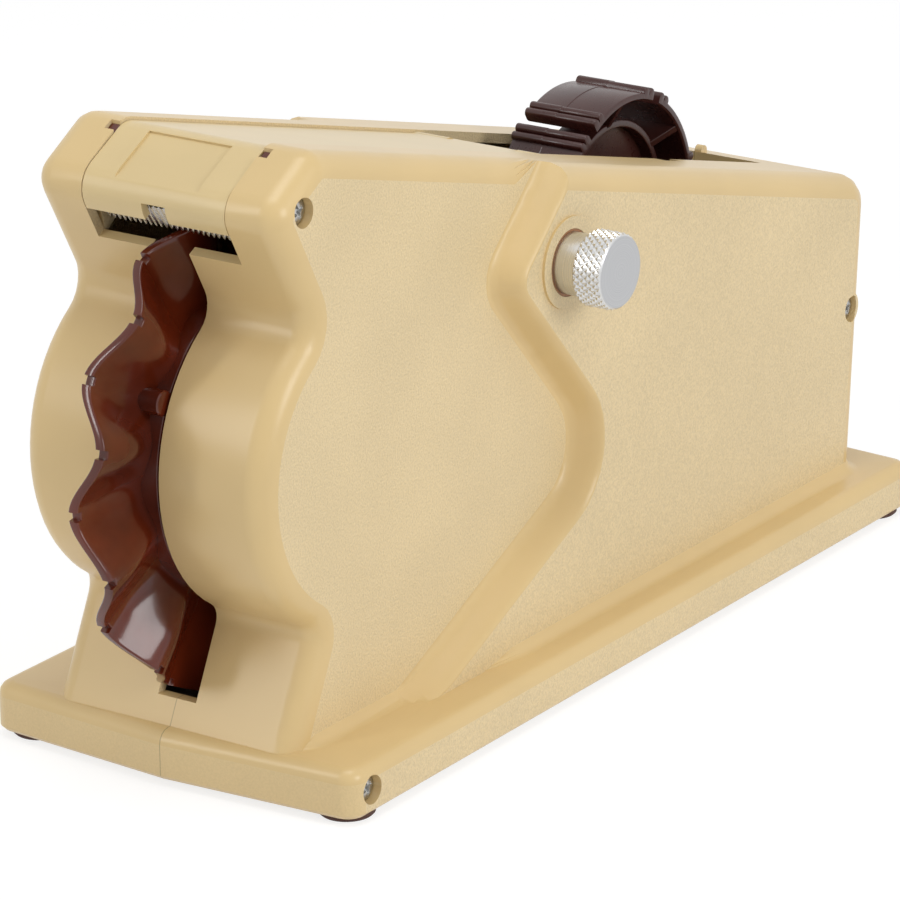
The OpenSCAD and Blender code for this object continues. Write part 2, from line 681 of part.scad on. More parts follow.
// ribbed steel blade, each rib ends in one pointed tooth
module cutter_blade() {
  p = 2 * blade_x / teeth;
  color("#b4b6b8") on_feet() on_blade() difference() {
    intersection() {
      translate([0, blade_l, 0]) rotate([90, 0, 0]) linear_extrude(blade_l) polygon(concat(
        [[blade_x, blade_t], [-blade_x, blade_t]],
        [for (i = [0:teeth - 1], k = [[0, 0.45], [0.3, 0], [0.7, 0]])
          [-blade_x + (i + k[0]) * p, k[1] * blade_t]],
        [[blade_x, 0.45 * blade_t]]));
      translate([0, 0, -1]) linear_extrude(blade_t + 2) polygon(concat(
        [[blade_x + 1, blade_l + 1], [-blade_x - 1, blade_l + 1], [-blade_x - 1, tooth_h]],
        [for (i = [0:teeth - 1], k = [[0, 1], [0.5, 0]]) [-blade_x + (i + k[0]) * p, k[1] * tooth_h]],
        [[blade_x, tooth_h], [blade_x + 1, tooth_h]]));
    }
    at_rivets(-1) cylinder(r = rivet_d / 2 + seat_fit, h = 4);
  }
}

module blade_holder() {
  u = unit(cover_crest - tip);
  n = [-u[1], u[0]] * -(cover_t + seat_fit);
  b = pol(blade_t, blade_a);
  v = [-sin(blade_a), cos(blade_a)];
  low = blade_tip + b + v * holder_low;
  seat = tip + u * (nose_r + play) + n;
  color("#6d6f73") on_feet() difference() {
    along_x(-cover_x, cover_x) polygon([low, blade_tip + b + v * blade_l, seat, seat + u * holder_t,
      low + [0.34, 0.86] * holder_t]);
    on_blade() at_rivets(-1) cylinder(r = rivet_d / 2 + seat_fit, h = rivet_l + 1.2);
  }
}

module blade_rivets() {
  color("#9a9ca0") on_feet() on_blade() at_rivets(0.1) cylinder(r = rivet_d / 2, h = rivet_l);
}

// wavy flange: side position follows a cosine around the wheel, a notch cuts every crest and trough
rim_half = rim_notch_w / 2 / wheel_r * 180 / PI;
function wave_in(r) = let (t = min(1, max(0, (r - drum_r + 3) / 20))) 0.35 + 0.65 * t * t * (3 - 2 * t);
rim_edges = [for (s = [-1, 1], e = [-0.06, 0.06]) s * rim_half + e];
rim_steps = concat([-90 / waves, -45 / waves], rim_edges, [45 / waves]);
rim_angles = [for (i = [0:2 * waves - 1], s = rim_steps) [i * 180 / waves + s, abs(s) < rim_half]];
flange_r = [drum_r - 2, drum_r + 4, drum_r + 10, drum_r + 17, wheel_r - 2.6];
wheel_turn = 137.5;
function rim_ring(r, side) = [for (a = rim_angles)
  let (q = r > 0 ? r : wheel_r - (a[1] ? rim_notch_d : 0), p = pol(q, a[0] + wheel_turn))
  [wave_a * wave_in(q) * cos(waves * a[0]) + side * rim_t / 2, p[0], p[1]]];
module wavy_flange() {
  rings = concat([for (r = flange_r) rim_ring(r, 1)], [rim_ring(0, 1), rim_ring(0, -1)],
    [for (i = [len(flange_r) - 1:-1:0]) rim_ring(flange_r[i], -1)]);
  n = len(rim_angles);
  m = len(rings);
  polyhedron(points = [for (r = rings) each r], convexity = 10,
    faces = [for (j = [0:m - 1], i = [0:n - 1], t = [0, 1]) let (k = (i + 1) % n, l = (j + 1) % m)
      t == 0 ? [j * n + i, l * n + k, l * n + i] : [j * n + i, j * n + k, l * n + k]]);
}

module feed_wheel() {
  color("#52271a") on_feet() difference() {
    union() {
      translate([0, wheel_c[0], wheel_c[1]]) wavy_flange();
      tube(wheel_c, drum_r, drum_r - 4, -drum_x, drum_x);
      tube(wheel_c, drum_r - 3, hub_r - 1, -1.5, 1.5);
      rod(wheel_c, hub_r, -hub_x, hub_x);
      for (a = [0:60:300]) along_x(-4, 4) translate(wheel_c) rotate(a)
        translate([hub_r - 1, -1.2]) square([drum_r - hub_r - 2, 2.4]);
      rod(wheel_c + pol(drum_r + 1.5, wheel_turn + 15), peg_r, -drum_x, drum_x + 0.3);
    }
    rod(wheel_c, axle_d / 2 + bush_t + seat_fit, -hub_x - 1, hub_x + 1);
  }
}

module wheel_bushes() {
  color("#b08a4a") on_feet() for (s = [0, 1]) mirror([s, 0, 0])
    tube(wheel_c, axle_d / 2 + bush_t, axle_d / 2 + run_fit, 3, hub_x);
}

module wheel_axle() {
  color("#b9bcc0") on_feet() rod(wheel_c, axle_d / 2, 5.4 - front_x, front_x - 5.4);
}

module wheel_washers() {
  color("#e8e6df") on_feet() for (s = [0, 1]) mirror([s, 0, 0])
    tube(wheel_c, axle_d / 2 + 4, axle_d / 2 + seat_fit, hub_x + play, hub_x + play + washer_t);
}

// split core reel: sprung segments with paired round ridges, webs that widen outwards, a cupped hub
split_at = 124.5;
reel_hub_x = reel_x + 1.2;
reel_out = reel_r - ridge_h;
reel_in = reel_out - segment_t;
ridge_c = reel_r - ridge_r;
ridge_deg = split_deg / 2 + ridge_r / reel_r * 180 / PI;
ridge_pitch = 2 * ridge_r / reel_r * 180 / PI + 0.6;
module reel() {
  step = 360 / segments;
  color("#5b4039") on_feet() difference() {
    union() {
      difference() {
        tube(reel_c, reel_out, reel_in, -reel_x, reel_x);
        for (i = [0:segments - 1]) along_x(-reel_x - 1, reel_x + 1) translate(reel_c)
          rotate(split_at + i * step)
            polygon([[0, 0], pol(2 * reel_r, -split_deg / 2), pol(2 * reel_r, split_deg / 2)]);
      }
      for (i = [0:segments - 1], s = [-1, 1], k = [0, 1])
        rod(reel_c + pol(ridge_c, split_at + i * step + s * (ridge_deg + k * ridge_pitch)), ridge_r,
          -reel_x, reel_x);
      for (i = [0:segments - 1]) translate([0, reel_c[0], reel_c[1]])
        rotate([split_at + (i + 0.5) * step, 0, 0]) translate([0, 0, -web_t / 2]) linear_extrude(web_t)
          polygon([[-cup_x, cup_r - 1], [cup_x, cup_r - 1], [reel_x - 0.5, reel_in + 0.5],
            [0.5 - reel_x, reel_in + 0.5]]);
      tube(reel_c, cup_r, cup_r - web_t, -cup_x, cup_x);
      rod(reel_c, cup_r - 1, -web_t, web_t);
      rod(reel_c, reel_axle_d / 2 + 3, -reel_hub_x, reel_hub_x);
    }
    rod(reel_c, reel_axle_d / 2 + run_fit, -reel_hub_x - 1, reel_hub_x + 1);
  }
}

module reel_axle() {
  color("#b9bcc0") on_feet() rod(reel_c, reel_axle_d / 2, -cheek_x - 4, cheek_x + 4);
}

module reel_spacers() {
  color("#3a2a25") on_feet() for (s = [0, 1]) mirror([s, 0, 0])
    tube(reel_c, reel_axle_d / 2 + 2, reel_axle_d / 2 + seat_fit, reel_hub_x + play, mouth_x - seat_fit);
}

module reel_clips() {
  color("#8b8d90") on_feet() for (s = [0, 1]) mirror([s, 0, 0])
    tube(reel_c, reel_axle_d / 2 + 3, reel_axle_d / 2 + seat_fit, cheek_x + seat_fit, cheek_x + 1.2);
}

module guide_roller() {
  color("#2f2f31") on_feet() difference() {
    union() {
      rod(roller_c, roller_r - 1, -roller_x, roller_x);
      for (x = [-roller_x, roller_x - 3]) rod(roller_c, roller_r, x, x + 3);
      for (x = [-5.5, 2.5]) rod(roller_c, roller_r, x, x + 3);
    }
    rod(roller_c, roller_shaft_d / 2 + seat_fit, -20, 20);
  }
}

module roller_shaft() {
  color("#b9bcc0") on_feet() difference() {
    rod(roller_c, roller_shaft_d / 2, 6.6 - rear_x, rear_x - 2);
    pin_hole();
  }
}

// cross hole of the knob and its shaft
module pin_hole() {
  translate([pin_x, roller_c[0], roller_c[1] - shank_d]) cylinder(r = pin_d / 2 + seat_fit, h = 2 * shank_d);
}

// knurled head and smooth shank in one turned piece
module knurled_knob() {
  x1 = rear_x + shank_open;
  r = knob_d / 2;
  color("#c3c4c6") on_feet() difference() {
    union() {
      rod(roller_c, shank_d / 2, rear_x - shank_in, x1 + 1);
      intersection() {
        along_x(x1, x1 + knob_l) translate(roller_c) polygon([for (i = [0:2 * knurls - 1])
          pol(r - (i % 2) * knurl_d, i * 180 / knurls)]);
        translate([x1, roller_c[0], roller_c[1]]) rotate([0, 90, 0]) rotate_extrude()
          polygon([[0, 0], [r - knob_bevel, 0], [r + 0.1, knob_bevel + 0.1],
            [r + 0.1, knob_l - knob_bevel - 0.1], [r - knob_bevel, knob_l], [0, knob_l]]);
      }
    }
    rod(roller_c, roller_shaft_d / 2 + seat_fit, rear_x - shank_in - 1, rear_x - 1.5);
    pin_hole();
  }
}

module knob_pin() {
  color("#9a9ca0") on_feet() translate([pin_x, roller_c[0], roller_c[1] - shank_d / 2 + 0.4])
    cylinder(r = pin_d / 2, h = shank_d - 0.8);
}

module roller_bush() {
  color("#3c2219") on_feet()
    tube(roller_c, collar_r - seat_fit, shank_d / 2 + run_fit, rear_x - 10, rear_x + 0.6);
}

// drag spring of the roller: one round wire wound about the shaft
coil_pitch = (coil_l - 2 * wire_r) / coils;
function coil_mid(j) = [coil_x0 + wire_r + coil_pitch * j / 8, coil_r * cos(j * 45), coil_r * sin(j * 45)];
module tension_spring() {
  n = coils * 8;
  s = 6;
  pts = [for (j = [0:n], k = [0:s - 1]) let (a = j * 45, b = k * 360 / s, r = coil_r + wire_r * cos(b))
    [coil_mid(j)[0] + wire_r * sin(b), r * cos(a), r * sin(a)]];
  apart = [for (i = [0:n], j = [i + 6:1:n]) norm(coil_mid(i) - coil_mid(j))];
  echo(least_gap_in_spring = min(apart) - 2 * wire_r);
  color("#a4a6a9") on_feet() translate([0, roller_c[0], roller_c[1]])
    polyhedron(points = pts, convexity = 10, faces = concat([[for (k = [s - 1:-1:0]) k]],
      [for (j = [0:n - 1], k = [0:s - 1], t = [0, 1]) let (l = (k + 1) % s)
        t == 0 ? [j * s + k, j * s + l, j * s + s + l] : [j * s + k, j * s + s + l, j * s + s + k]],
      [[for (k = [0:s - 1]) n * s + k]]));
}

module friction_washer() {
  color("#7a5a3c") on_feet()
    tube(roller_c, 9, roller_shaft_d / 2 + play, coil_x1, coil_x1 + felt_t);
}

// pan head case screws with a cross recess
module case_screws() {
  color("#b4b6b8") on_feet() for (s = [[screw_nose, front_x, -mouth_x - insert_l],
      [screw_base, base_x, -insert_l], [screw_rear, rear_x, -insert_l]]) difference() {
    union() {
      rod(s[0], screw_d / 2, s[2], s[1] - bore_depth + 0.5);
      rod(s[0], head_r, s[1] - bore_depth, s[1] - bore_depth + 2.6);
    }
    for (a = [25, 115]) translate([s[1] - bore_depth + 1.3, s[0][0], s[0][1]]) rotate([a, 0, 0])
      translate([0, -2.2, -0.5]) cube([3, 4.4, 1]);
  }
}

module screw_inserts() {
  color("#b08a4a") on_feet() for (s = [[screw_nose, -mouth_x - insert_l, -cheek_x + 2 - seat_fit],
      [screw_base, -insert_l, 0], [screw_rear, -insert_l, 0]])
    tube(s[0], insert_r, screw_d / 2 + seat_fit, s[1], s[2]);
}

module at_feet() {
  for (x = [-foot_x, foot_x], y = [-foot_y, foot_y]) translate([x, y, 0]) children();
}

module bottom_plate() {
  color("#8d9094") on_feet() difference() {
    translate([play - rim_x, play - rim_y, 0]) cube([2 * (rim_x - play), 2 * (rim_y - play), plate_t]);
    at_feet() translate([0, 0, -1]) cylinder(r = foot_screw_r + 0.2, h = plate_t + 2);
  }
}

// height of the screw seat inside a foot
foot_seat = foot_h - 0.8;
module feet() {
  color("#3b2b24") at_feet() difference() {
    rotate_extrude() polygon([[0, 0], [foot_r - 0.6, 0], [foot_r, 0.6], [foot_r, foot_h], [0, foot_h]]);
    translate([0, 0, -1]) cylinder(r = foot_screw_r + 0.2, h = foot_h + 2);
    translate([0, 0, -1]) cylinder(r = 2 * foot_screw_r + 0.4, h = 1 + foot_seat);
  }
}

module foot_screws() {
  color("#9a9ca0") at_feet() {
    translate([0, 0, foot_seat - 0.6]) cylinder(r = 2 * foot_screw_r, h = 0.6);
    translate([0, 0, foot_seat - 0.6]) cylinder(r = foot_screw_r, h = 2.8 + foot_h - foot_seat + plate_t);
  }
}

housing_left();
housing_right();
top_cover();
cover_hinge_pin();
cutter_blade();
blade_holder();
blade_rivets();
feed_wheel();
wheel_bushes();
wheel_axle();
wheel_washers();
reel();
reel_axle();
reel_spacers();
reel_clips();
guide_roller();
roller_shaft();
knurled_knob();
knob_pin();
roller_bush();
tension_spring();
friction_washer();
case_screws();
screw_inserts();
bottom_plate();
feet();
foot_screws();
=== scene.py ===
# %% [markdown]
# A counter dispenser that feeds tape in equal lengths. Its solids come packed in a frame, with their
# places and joints, and they stay where they are. This lesson adds the camera, the light, the finishes
# and a finer surface for what the eye rests on: moulded case, wavy wheel, reel, knob and screws.

import json
import math

import bpy
import numpy as np
from mathutils import Matrix, Vector


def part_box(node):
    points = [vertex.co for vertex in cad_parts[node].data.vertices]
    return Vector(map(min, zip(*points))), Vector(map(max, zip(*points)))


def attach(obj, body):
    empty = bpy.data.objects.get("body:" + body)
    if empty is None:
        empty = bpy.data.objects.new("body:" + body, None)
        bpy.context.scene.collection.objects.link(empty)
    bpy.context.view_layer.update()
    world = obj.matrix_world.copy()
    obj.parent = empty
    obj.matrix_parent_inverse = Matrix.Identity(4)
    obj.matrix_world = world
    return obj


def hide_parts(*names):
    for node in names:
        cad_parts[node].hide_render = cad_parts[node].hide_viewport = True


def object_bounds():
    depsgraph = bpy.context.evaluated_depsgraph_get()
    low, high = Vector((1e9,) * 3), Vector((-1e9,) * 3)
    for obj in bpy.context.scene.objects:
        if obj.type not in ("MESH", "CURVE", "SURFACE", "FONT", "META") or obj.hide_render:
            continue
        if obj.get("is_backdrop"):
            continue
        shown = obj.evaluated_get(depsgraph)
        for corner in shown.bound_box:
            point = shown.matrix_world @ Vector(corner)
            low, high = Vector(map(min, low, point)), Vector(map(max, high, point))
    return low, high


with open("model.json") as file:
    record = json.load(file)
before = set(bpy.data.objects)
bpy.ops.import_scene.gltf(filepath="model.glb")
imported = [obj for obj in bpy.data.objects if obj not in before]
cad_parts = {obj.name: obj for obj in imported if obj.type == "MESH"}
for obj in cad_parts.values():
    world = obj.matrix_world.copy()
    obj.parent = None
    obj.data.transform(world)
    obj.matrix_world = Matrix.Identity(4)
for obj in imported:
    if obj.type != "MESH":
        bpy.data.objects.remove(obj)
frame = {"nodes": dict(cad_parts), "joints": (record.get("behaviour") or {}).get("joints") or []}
cad_low, cad_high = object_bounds()
MM = 0.001
nodes = frame["nodes"]
joints = {joint["name"]: np.array(joint["pos_m"]) for joint in frame["joints"]}
print("frame:", len(nodes), "nodes, box", [round(v, 4) for v in cad_high - cad_low])

# %% [markdown]
# The camera stands where the photograph was taken: a long lens, far away, looking down by about
# nineteen degrees. A long lens keeps the parallel edges of the base almost parallel, so both the
# distance and the focal length matter, not only the direction. The camera is given by the point
# that it looks at, its distance and three angles, because these can be read and changed by hand.

# %% Camera
LOOK_AT = Vector((-6.54, -4.08, 52.58)) * MM
CAMERA_DISTANCE = 1603.96 * MM
AZIMUTH = math.radians(34.519)
ELEVATION = math.radians(19.405)
ROLL = math.radians(-0.569)
LENS_MM = 215.87
SENSOR_MM = 36.0

back = Vector((math.sin(AZIMUTH) * math.cos(ELEVATION), -math.cos(AZIMUTH) * math.cos(ELEVATION),
               math.sin(ELEVATION)))
right = Vector((math.cos(AZIMUTH), math.sin(AZIMUTH), 0.0))
up = back.cross(right)
camera_x = math.cos(ROLL) * right + math.sin(ROLL) * up
camera_y = back.cross(camera_x)
camera_data = bpy.data.cameras.new("photo_camera")
camera_data.lens = LENS_MM
camera_data.sensor_width = SENSOR_MM
camera = bpy.data.objects.new("photo_camera", camera_data)
turn = Matrix((camera_x, camera_y, back)).transposed().to_4x4()
camera.matrix_world = Matrix.Translation(LOOK_AT + back * CAMERA_DISTANCE) @ turn
bpy.context.scene.collection.objects.link(camera)
bpy.context.scene.camera = camera
print("camera at", [round(v, 3) for v in camera.location])

# %% [markdown]
# Every material needs colours and nodes. The colours are written as sRGB hex values, as a paint
# chart gives them, and Blender calculates in linear light, so one function converts them. A second
# small function adds a node with its settings and inputs, which keeps a material readable as a list.

# %% Colour and node helpers
def linear(hex_colour):
    """Linear RGBA of an sRGB hex colour: ((c + 0.055) / 1.055) to the power 2.4 above the toe."""
    srgb = np.array([int(hex_colour[i:i + 2], 16) for i in (1, 3, 5)]) / 255
    value = np.where(srgb <= 0.04045, srgb / 12.92, ((srgb + 0.055) / 1.055) ** 2.4)
    return (*value.tolist(), 1.0)


def add(tree, kind, inputs=(), **settings):
    """Adds a node. Settings are its properties or sockets by name, inputs are (socket, output or value)."""
    node = tree.nodes.new(kind)
    for name, value in settings.items():
        if hasattr(node, name):
            setattr(node, name, value)
        else:
            node.inputs[name.replace("_", " ")].default_value = value
    for socket, given in inputs:
        if isinstance(given, bpy.types.NodeSocket):
            tree.links.new(given, node.inputs[socket])
        else:
            node.inputs[socket].default_value = given
    return node


def material(name):
    """An empty node material with its principled shader: (material, tree, shader)."""
    made = bpy.data.materials.new(name)
    made.use_nodes = True
    tree = made.node_tree
    return made, tree, tree.nodes["Principled BSDF"]


def per_mm(size_mm):
    """Texture scale that repeats about once in size_mm, because Object coordinates are metres."""
    return 1000.0 / size_mm


print("white in linear light:", linear("#ffffff"))

# %% [markdown]
# The housing is ABS, injection moulded in a spark eroded mould. Its flat sides took a fine pebbled
# grain from the mould, under a millimetre from crest to crest, and the ends of its base a fainter
# one, while the rounded edges, the slopes and the front were polished to a satin. The grain is a bump
# that a face attribute switches on, so that it stops where the flat faces end, as it does on the real
# part. A second material on those faces would do it too, but its tone would have to be matched twice.
# Where the grain is on, the colour is also darkened in its pits and lightened on its crests, as
# painted shade and painted highlight. The two halves meet in the middle plane, where moulded edges
# are never quite sharp, so the colour darkens in a hairline there.

# %% Moulded ABS
GRAIN_MM, GRAIN_DEPTH = 0.62, 0.2 * MM
GRAIN_ROUGHER = 0.1
# the grain's colour is darkened in its pits and lightened on its crests: painted shade and painted
# highlight
PIT_SPAN, PIT_PAINTED_SHADE = (0.3, 0.7), (0.895, 1.07)
SPECKLE_MM, SPECKLE_SHARE = 0.45, 0.03
HAZE_MM, HAZE_SPAN, HAZE_SHADE = 38.0, (0.35, 0.65), (0.97, 1.02)
SEAM_HALF = 0.22 * MM
ABS_IOR, ABS_SPECULAR = 1.53, 0.4


def moulded_abs(name, grained, smooth, roughness, seam_shade):
    """ABS, pebbled where grain is 1 and satin elsewhere, with haze, a seam line and painted shade and
    highlight in the grain.
    """
    made, tree, shader = material(name)
    place = add(tree, "ShaderNodeTexCoord").outputs["Object"]
    grain = add(tree, "ShaderNodeAttribute", attribute_name="grain").outputs["Fac"]
    pebble = add(tree, "ShaderNodeTexNoise", [("Vector", place)], Scale=per_mm(GRAIN_MM), Detail=1.5)
    speckle = add(tree, "ShaderNodeTexNoise", [("Vector", place)], Scale=per_mm(SPECKLE_MM))
    haze = add(tree, "ShaderNodeTexNoise", [("Vector", place)], Scale=per_mm(HAZE_MM), Detail=2.0)
    across = add(tree, "ShaderNodeSeparateXYZ", [("Vector", place)]).outputs["X"]
    off_seam = add(tree, "ShaderNodeMath", [(0, across)], operation="ABSOLUTE")
    seam = add(tree, "ShaderNodeMapRange", [("Value", off_seam.outputs[0])], From_Max=SEAM_HALF,
               To_Min=seam_shade, To_Max=1.0)
    tone = add(tree, "ShaderNodeMapRange", [("Value", haze.outputs["Fac"])], From_Min=HAZE_SPAN[0],
               From_Max=HAZE_SPAN[1], To_Min=HAZE_SHADE[0], To_Max=HAZE_SHADE[1])
    # painted shade in the grain's pits and painted highlight on its crests
    pit_painted_shade = add(tree, "ShaderNodeMapRange", [("Value", pebble.outputs["Fac"])], From_Min=PIT_SPAN[0],
               From_Max=PIT_SPAN[1], To_Min=PIT_PAINTED_SHADE[0], To_Max=PIT_PAINTED_SHADE[1])
    grain_painted_shade = add(tree, "ShaderNodeMix", [(0, grain), (2, 1.0), (3, pit_painted_shade.outputs["Result"])],
                 data_type="FLOAT")
    shade = add(tree, "ShaderNodeMath", [(0, seam.outputs["Result"]), (1, tone.outputs["Result"])],
                operation="MULTIPLY")
    shade = add(tree, "ShaderNodeMath", [(0, shade.outputs[0]), (1, grain_painted_shade.outputs[0])],
                operation="MULTIPLY")
    colour = add(tree, "ShaderNodeMix", [(0, grain), (6, linear(smooth)), (7, linear(grained))],
                 data_type="RGBA")
    shaded = add(tree, "ShaderNodeVectorMath", [(0, colour.outputs[2]), (1, shade.outputs[0])],
                 operation="MULTIPLY")
    tree.links.new(shaded.outputs[0], shader.inputs["Base Color"])
    rough = add(tree, "ShaderNodeMapRange", [("Value", grain)], To_Min=roughness,
                To_Max=roughness + GRAIN_ROUGHER)
    tree.links.new(rough.outputs["Result"], shader.inputs["Roughness"])
    coarse = add(tree, "ShaderNodeMath", [(0, pebble.outputs["Fac"]), (1, grain)], operation="MULTIPLY")
    fine = add(tree, "ShaderNodeMath", [(0, speckle.outputs["Fac"]), (1, SPECKLE_SHARE)],
               operation="MULTIPLY")
    height = add(tree, "ShaderNodeMath", [(0, coarse.outputs[0]), (1, fine.outputs[0])], operation="ADD")
    bump = add(tree, "ShaderNodeBump", [("Height", height.outputs[0])], Distance=GRAIN_DEPTH, Strength=1.0)
    tree.links.new(bump.outputs["Normal"], shader.inputs["Normal"])
    shader.inputs["IOR"].default_value = ABS_IOR
    shader.inputs["Specular IOR Level"].default_value = ABS_SPECULAR
    return made


# satin beige that takes a soft highlight along the rounded edges and sparkles faintly on the sides, from
# the grain's bump and its painted highlight
beige_abs = moulded_abs("beige_abs_moulded", grained="#e1cb9f", smooth="#dcc08a", roughness=0.31,
                        seam_shade=0.5)
# the same plastic from another mould, satin all over, without grain or seam
cover_abs = moulded_abs("beige_abs_cover", grained="#dcc491", smooth="#dcc491", roughness=0.31,
                        seam_shade=1.0)
print("made", beige_abs.name, cover_abs.name)

# %% [markdown]
# Studio light. The object stands on a pale floor in a white room. Soft lamps overhead, in front and at
# the side give the long highlights on the rounded edges. The camera sees the floor and the room as
# white by way of the light path, so the lamps stay at a plain level. What the lamps give the floor and
# its own glow add up to white, and the first of the two keeps the shadow.

# %% Studio
FLOOR_SIZE = 6.0
FLOOR_ROUGHNESS = 0.9
FLOOR_SHADOW = 0.35
FLOOR_GLOW = 1.18
ROOM_LEVEL = 0.5
AIM = Vector((0.0, -0.02, 0.09))
# name, place and size in metres, power in watts
LAMPS = (
    ("top_softbox", (0.10, -0.20, 1.50), (0.7, 0.7), 5.6),
    ("front_softbox", (-0.75, -1.35, 0.75), (0.16, 0.7), 3.8),
    ("side_softbox", (1.45, -0.10, 0.70), (0.6, 0.6), 7.3),
)


def white_for_camera(tree):
    """Light path factor that is 1 for camera, glossy and transmission rays."""
    path = add(tree, "ShaderNodeLightPath")
    seen = add(tree, "ShaderNodeMath", [(0, path.outputs["Is Camera Ray"]),
                                        (1, path.outputs["Is Glossy Ray"])], operation="MAXIMUM")
    seen = add(tree, "ShaderNodeMath", [(0, seen.outputs[0]),
                                        (1, path.outputs["Is Transmission Ray"])], operation="MAXIMUM")
    return seen.outputs[0]


world = bpy.data.worlds.new("white_room")
bpy.context.scene.world = world
world.use_nodes = True
world_tree = world.node_tree
world_shader = world_tree.nodes["Background"]
world_shader.inputs["Color"].default_value = linear("#ffffff")
room = add(world_tree, "ShaderNodeMapRange", [("Value", white_for_camera(world_tree))], To_Min=ROOM_LEVEL,
           To_Max=1.0)
world_tree.links.new(room.outputs["Result"], world_shader.inputs["Strength"])

floor_material, floor_tree, floor_shader = material("pale_floor")
floor_shader.inputs["Base Color"].default_value = linear("#f4f4f4")
floor_shader.inputs["Roughness"].default_value = FLOOR_ROUGHNESS
floor_glow = add(floor_tree, "ShaderNodeEmission", Color=linear("#ffffff"), Strength=FLOOR_GLOW)
floor_part = add(floor_tree, "ShaderNodeMath", [(0, white_for_camera(floor_tree)), (1, 1.0 - FLOOR_SHADOW)],
                 operation="MULTIPLY")
floor_mix = add(floor_tree, "ShaderNodeMixShader", [(0, floor_part.outputs[0]),
                                                    (1, floor_shader.outputs[0]),
                                                    (2, floor_glow.outputs[0])])
floor_tree.links.new(floor_mix.outputs[0], floor_tree.nodes["Material Output"].inputs["Surface"])
floor_mesh = bpy.data.meshes.new("studio_floor")
half_floor = FLOOR_SIZE / 2
floor_mesh.from_pydata([(-half_floor, -half_floor, 0.0), (half_floor, -half_floor, 0.0),
                        (half_floor, half_floor, 0.0), (-half_floor, half_floor, 0.0)], [], [(0, 1, 2, 3)])
floor_mesh.materials.append(floor_material)
floor = bpy.data.objects.new("studio_floor", floor_mesh)
bpy.context.scene.collection.objects.link(floor)
floor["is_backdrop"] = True

for name, place, size, power in LAMPS:
    lamp_data = bpy.data.lights.new(name, "AREA")
    lamp_data.shape = "RECTANGLE"
    lamp_data.size, lamp_data.size_y = size
    lamp_data.energy = power
    lamp = bpy.data.objects.new(name, lamp_data)
    lamp.location = place
    lamp.rotation_euler = (AIM - Vector(place)).to_track_quat("-Z", "Y").to_euler()
    bpy.context.scene.collection.objects.link(lamp)
bpy.context.scene.view_settings.view_transform = "Standard"
print("lamps:", [row[0] for row in LAMPS])

# %% [markdown]
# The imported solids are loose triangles. To shade the rounded edges smoothly, a copy of the mesh is
# merged so that neighbours share their corners, and edges sharper than a limit stay sharp. The copy
# stands for the solid, with the same shape. A bevel modifier could fake round edges, but these are in
# the solids already and only need their shading. Flat side faces get the grain attribute.

# %% Smooth copies of the moulded solids
MICRON = 1e-6
SHARP = math.radians(31)
# a face is a flat side by the X of its normal, and upright by the Z
FLAT_SIDE, UPRIGHT = 0.999, 0.05
BASE_TOP, BASE_GRAIN = 15.0 * MM, 0.4
NO_AREA = 1e-12


def joined(points, faces, step):
    """Merges points that agree to a step and drops the triangles that this leaves empty."""
    keys = np.round(points / step).astype(np.int64)
    first, back_to = np.unique(keys, axis=0, return_index=True, return_inverse=True)[1:]
    faces = back_to.reshape(-1)[faces]
    whole = (faces[:, 0] != faces[:, 1]) & (faces[:, 1] != faces[:, 2]) & (faces[:, 2] != faces[:, 0])
    return points[first], faces[whole]


def piece(name, points, faces, finish, body, smooth=SHARP):
    """A mesh object from points and faces, shaded smooth up to an angle, riding on a body."""
    mesh = bpy.data.meshes.new(name)
    mesh.from_pydata(points.tolist(), [], faces.tolist())
    mesh.polygons.foreach_set("use_smooth", np.ones(len(mesh.polygons), bool))
    mesh.set_sharp_from_angle(angle=smooth)
    mesh.materials.append(finish)
    made = bpy.data.objects.new(name, mesh)
    bpy.context.scene.collection.objects.link(made)
    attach(made, body)
    return made


def smooth_copy(name, node, finish, body):
    """The copy of a node's triangles, merged, with weighted normals, that stands for the node."""
    mesh = nodes[node].data
    points = np.empty(len(mesh.vertices) * 3, np.float32)
    mesh.vertices.foreach_get("co", points)
    corner = np.empty(len(mesh.loops), np.int32)
    mesh.loops.foreach_get("vertex_index", corner)
    points, faces = joined(points.reshape(-1, 3).astype(float), corner.reshape(-1, 3), MICRON)
    made = piece(name, points, faces, finish, body)
    made.modifiers.new("even_normals", "WEIGHTED_NORMAL").keep_sharp = True
    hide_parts(node)
    return made, points, faces


for side in ("left", "right"):
    shell, points, faces = smooth_copy(f"{side}_shell", f"housing_{side}", beige_abs, "frame")
    corner = points[faces]
    normal = np.cross(corner[:, 1] - corner[:, 0], corner[:, 2] - corner[:, 0])
    normal /= np.linalg.norm(normal, axis=1, keepdims=True) + NO_AREA
    flat_side = np.abs(normal[:, 0]) > FLAT_SIDE
    base_edge = (corner[:, :, 2].max(1) < BASE_TOP) & (np.abs(normal[:, 2]) < UPRIGHT)
    grain = shell.data.attributes.new("grain", "FLOAT", "FACE")
    grain.data.foreach_set("value", np.where(flat_side, 1.0, BASE_GRAIN * base_edge).astype(np.float32))
    print(shell.name, len(faces), "triangles,", int(flat_side.sum()), "with grain")
nose_cover = smooth_copy("nose_cover", "top_cover", cover_abs, "cover")[0]
print(nose_cover.name, len(nose_cover.data.polygons), "triangles")

# %% [markdown]
# New pieces are surfaces on a grid of two parameters. A grid that closes on itself in one direction
# is a tube, and in both directions a ring. Where a grid shrinks to a point, as at the middle of a
# disc, the points are merged and the empty faces dropped, so that every piece is one closed skin.
# The sign of its volume tells whether the faces point outwards. Blender's screw modifier would make
# the turned pieces, but one way for all of them is easier to follow.

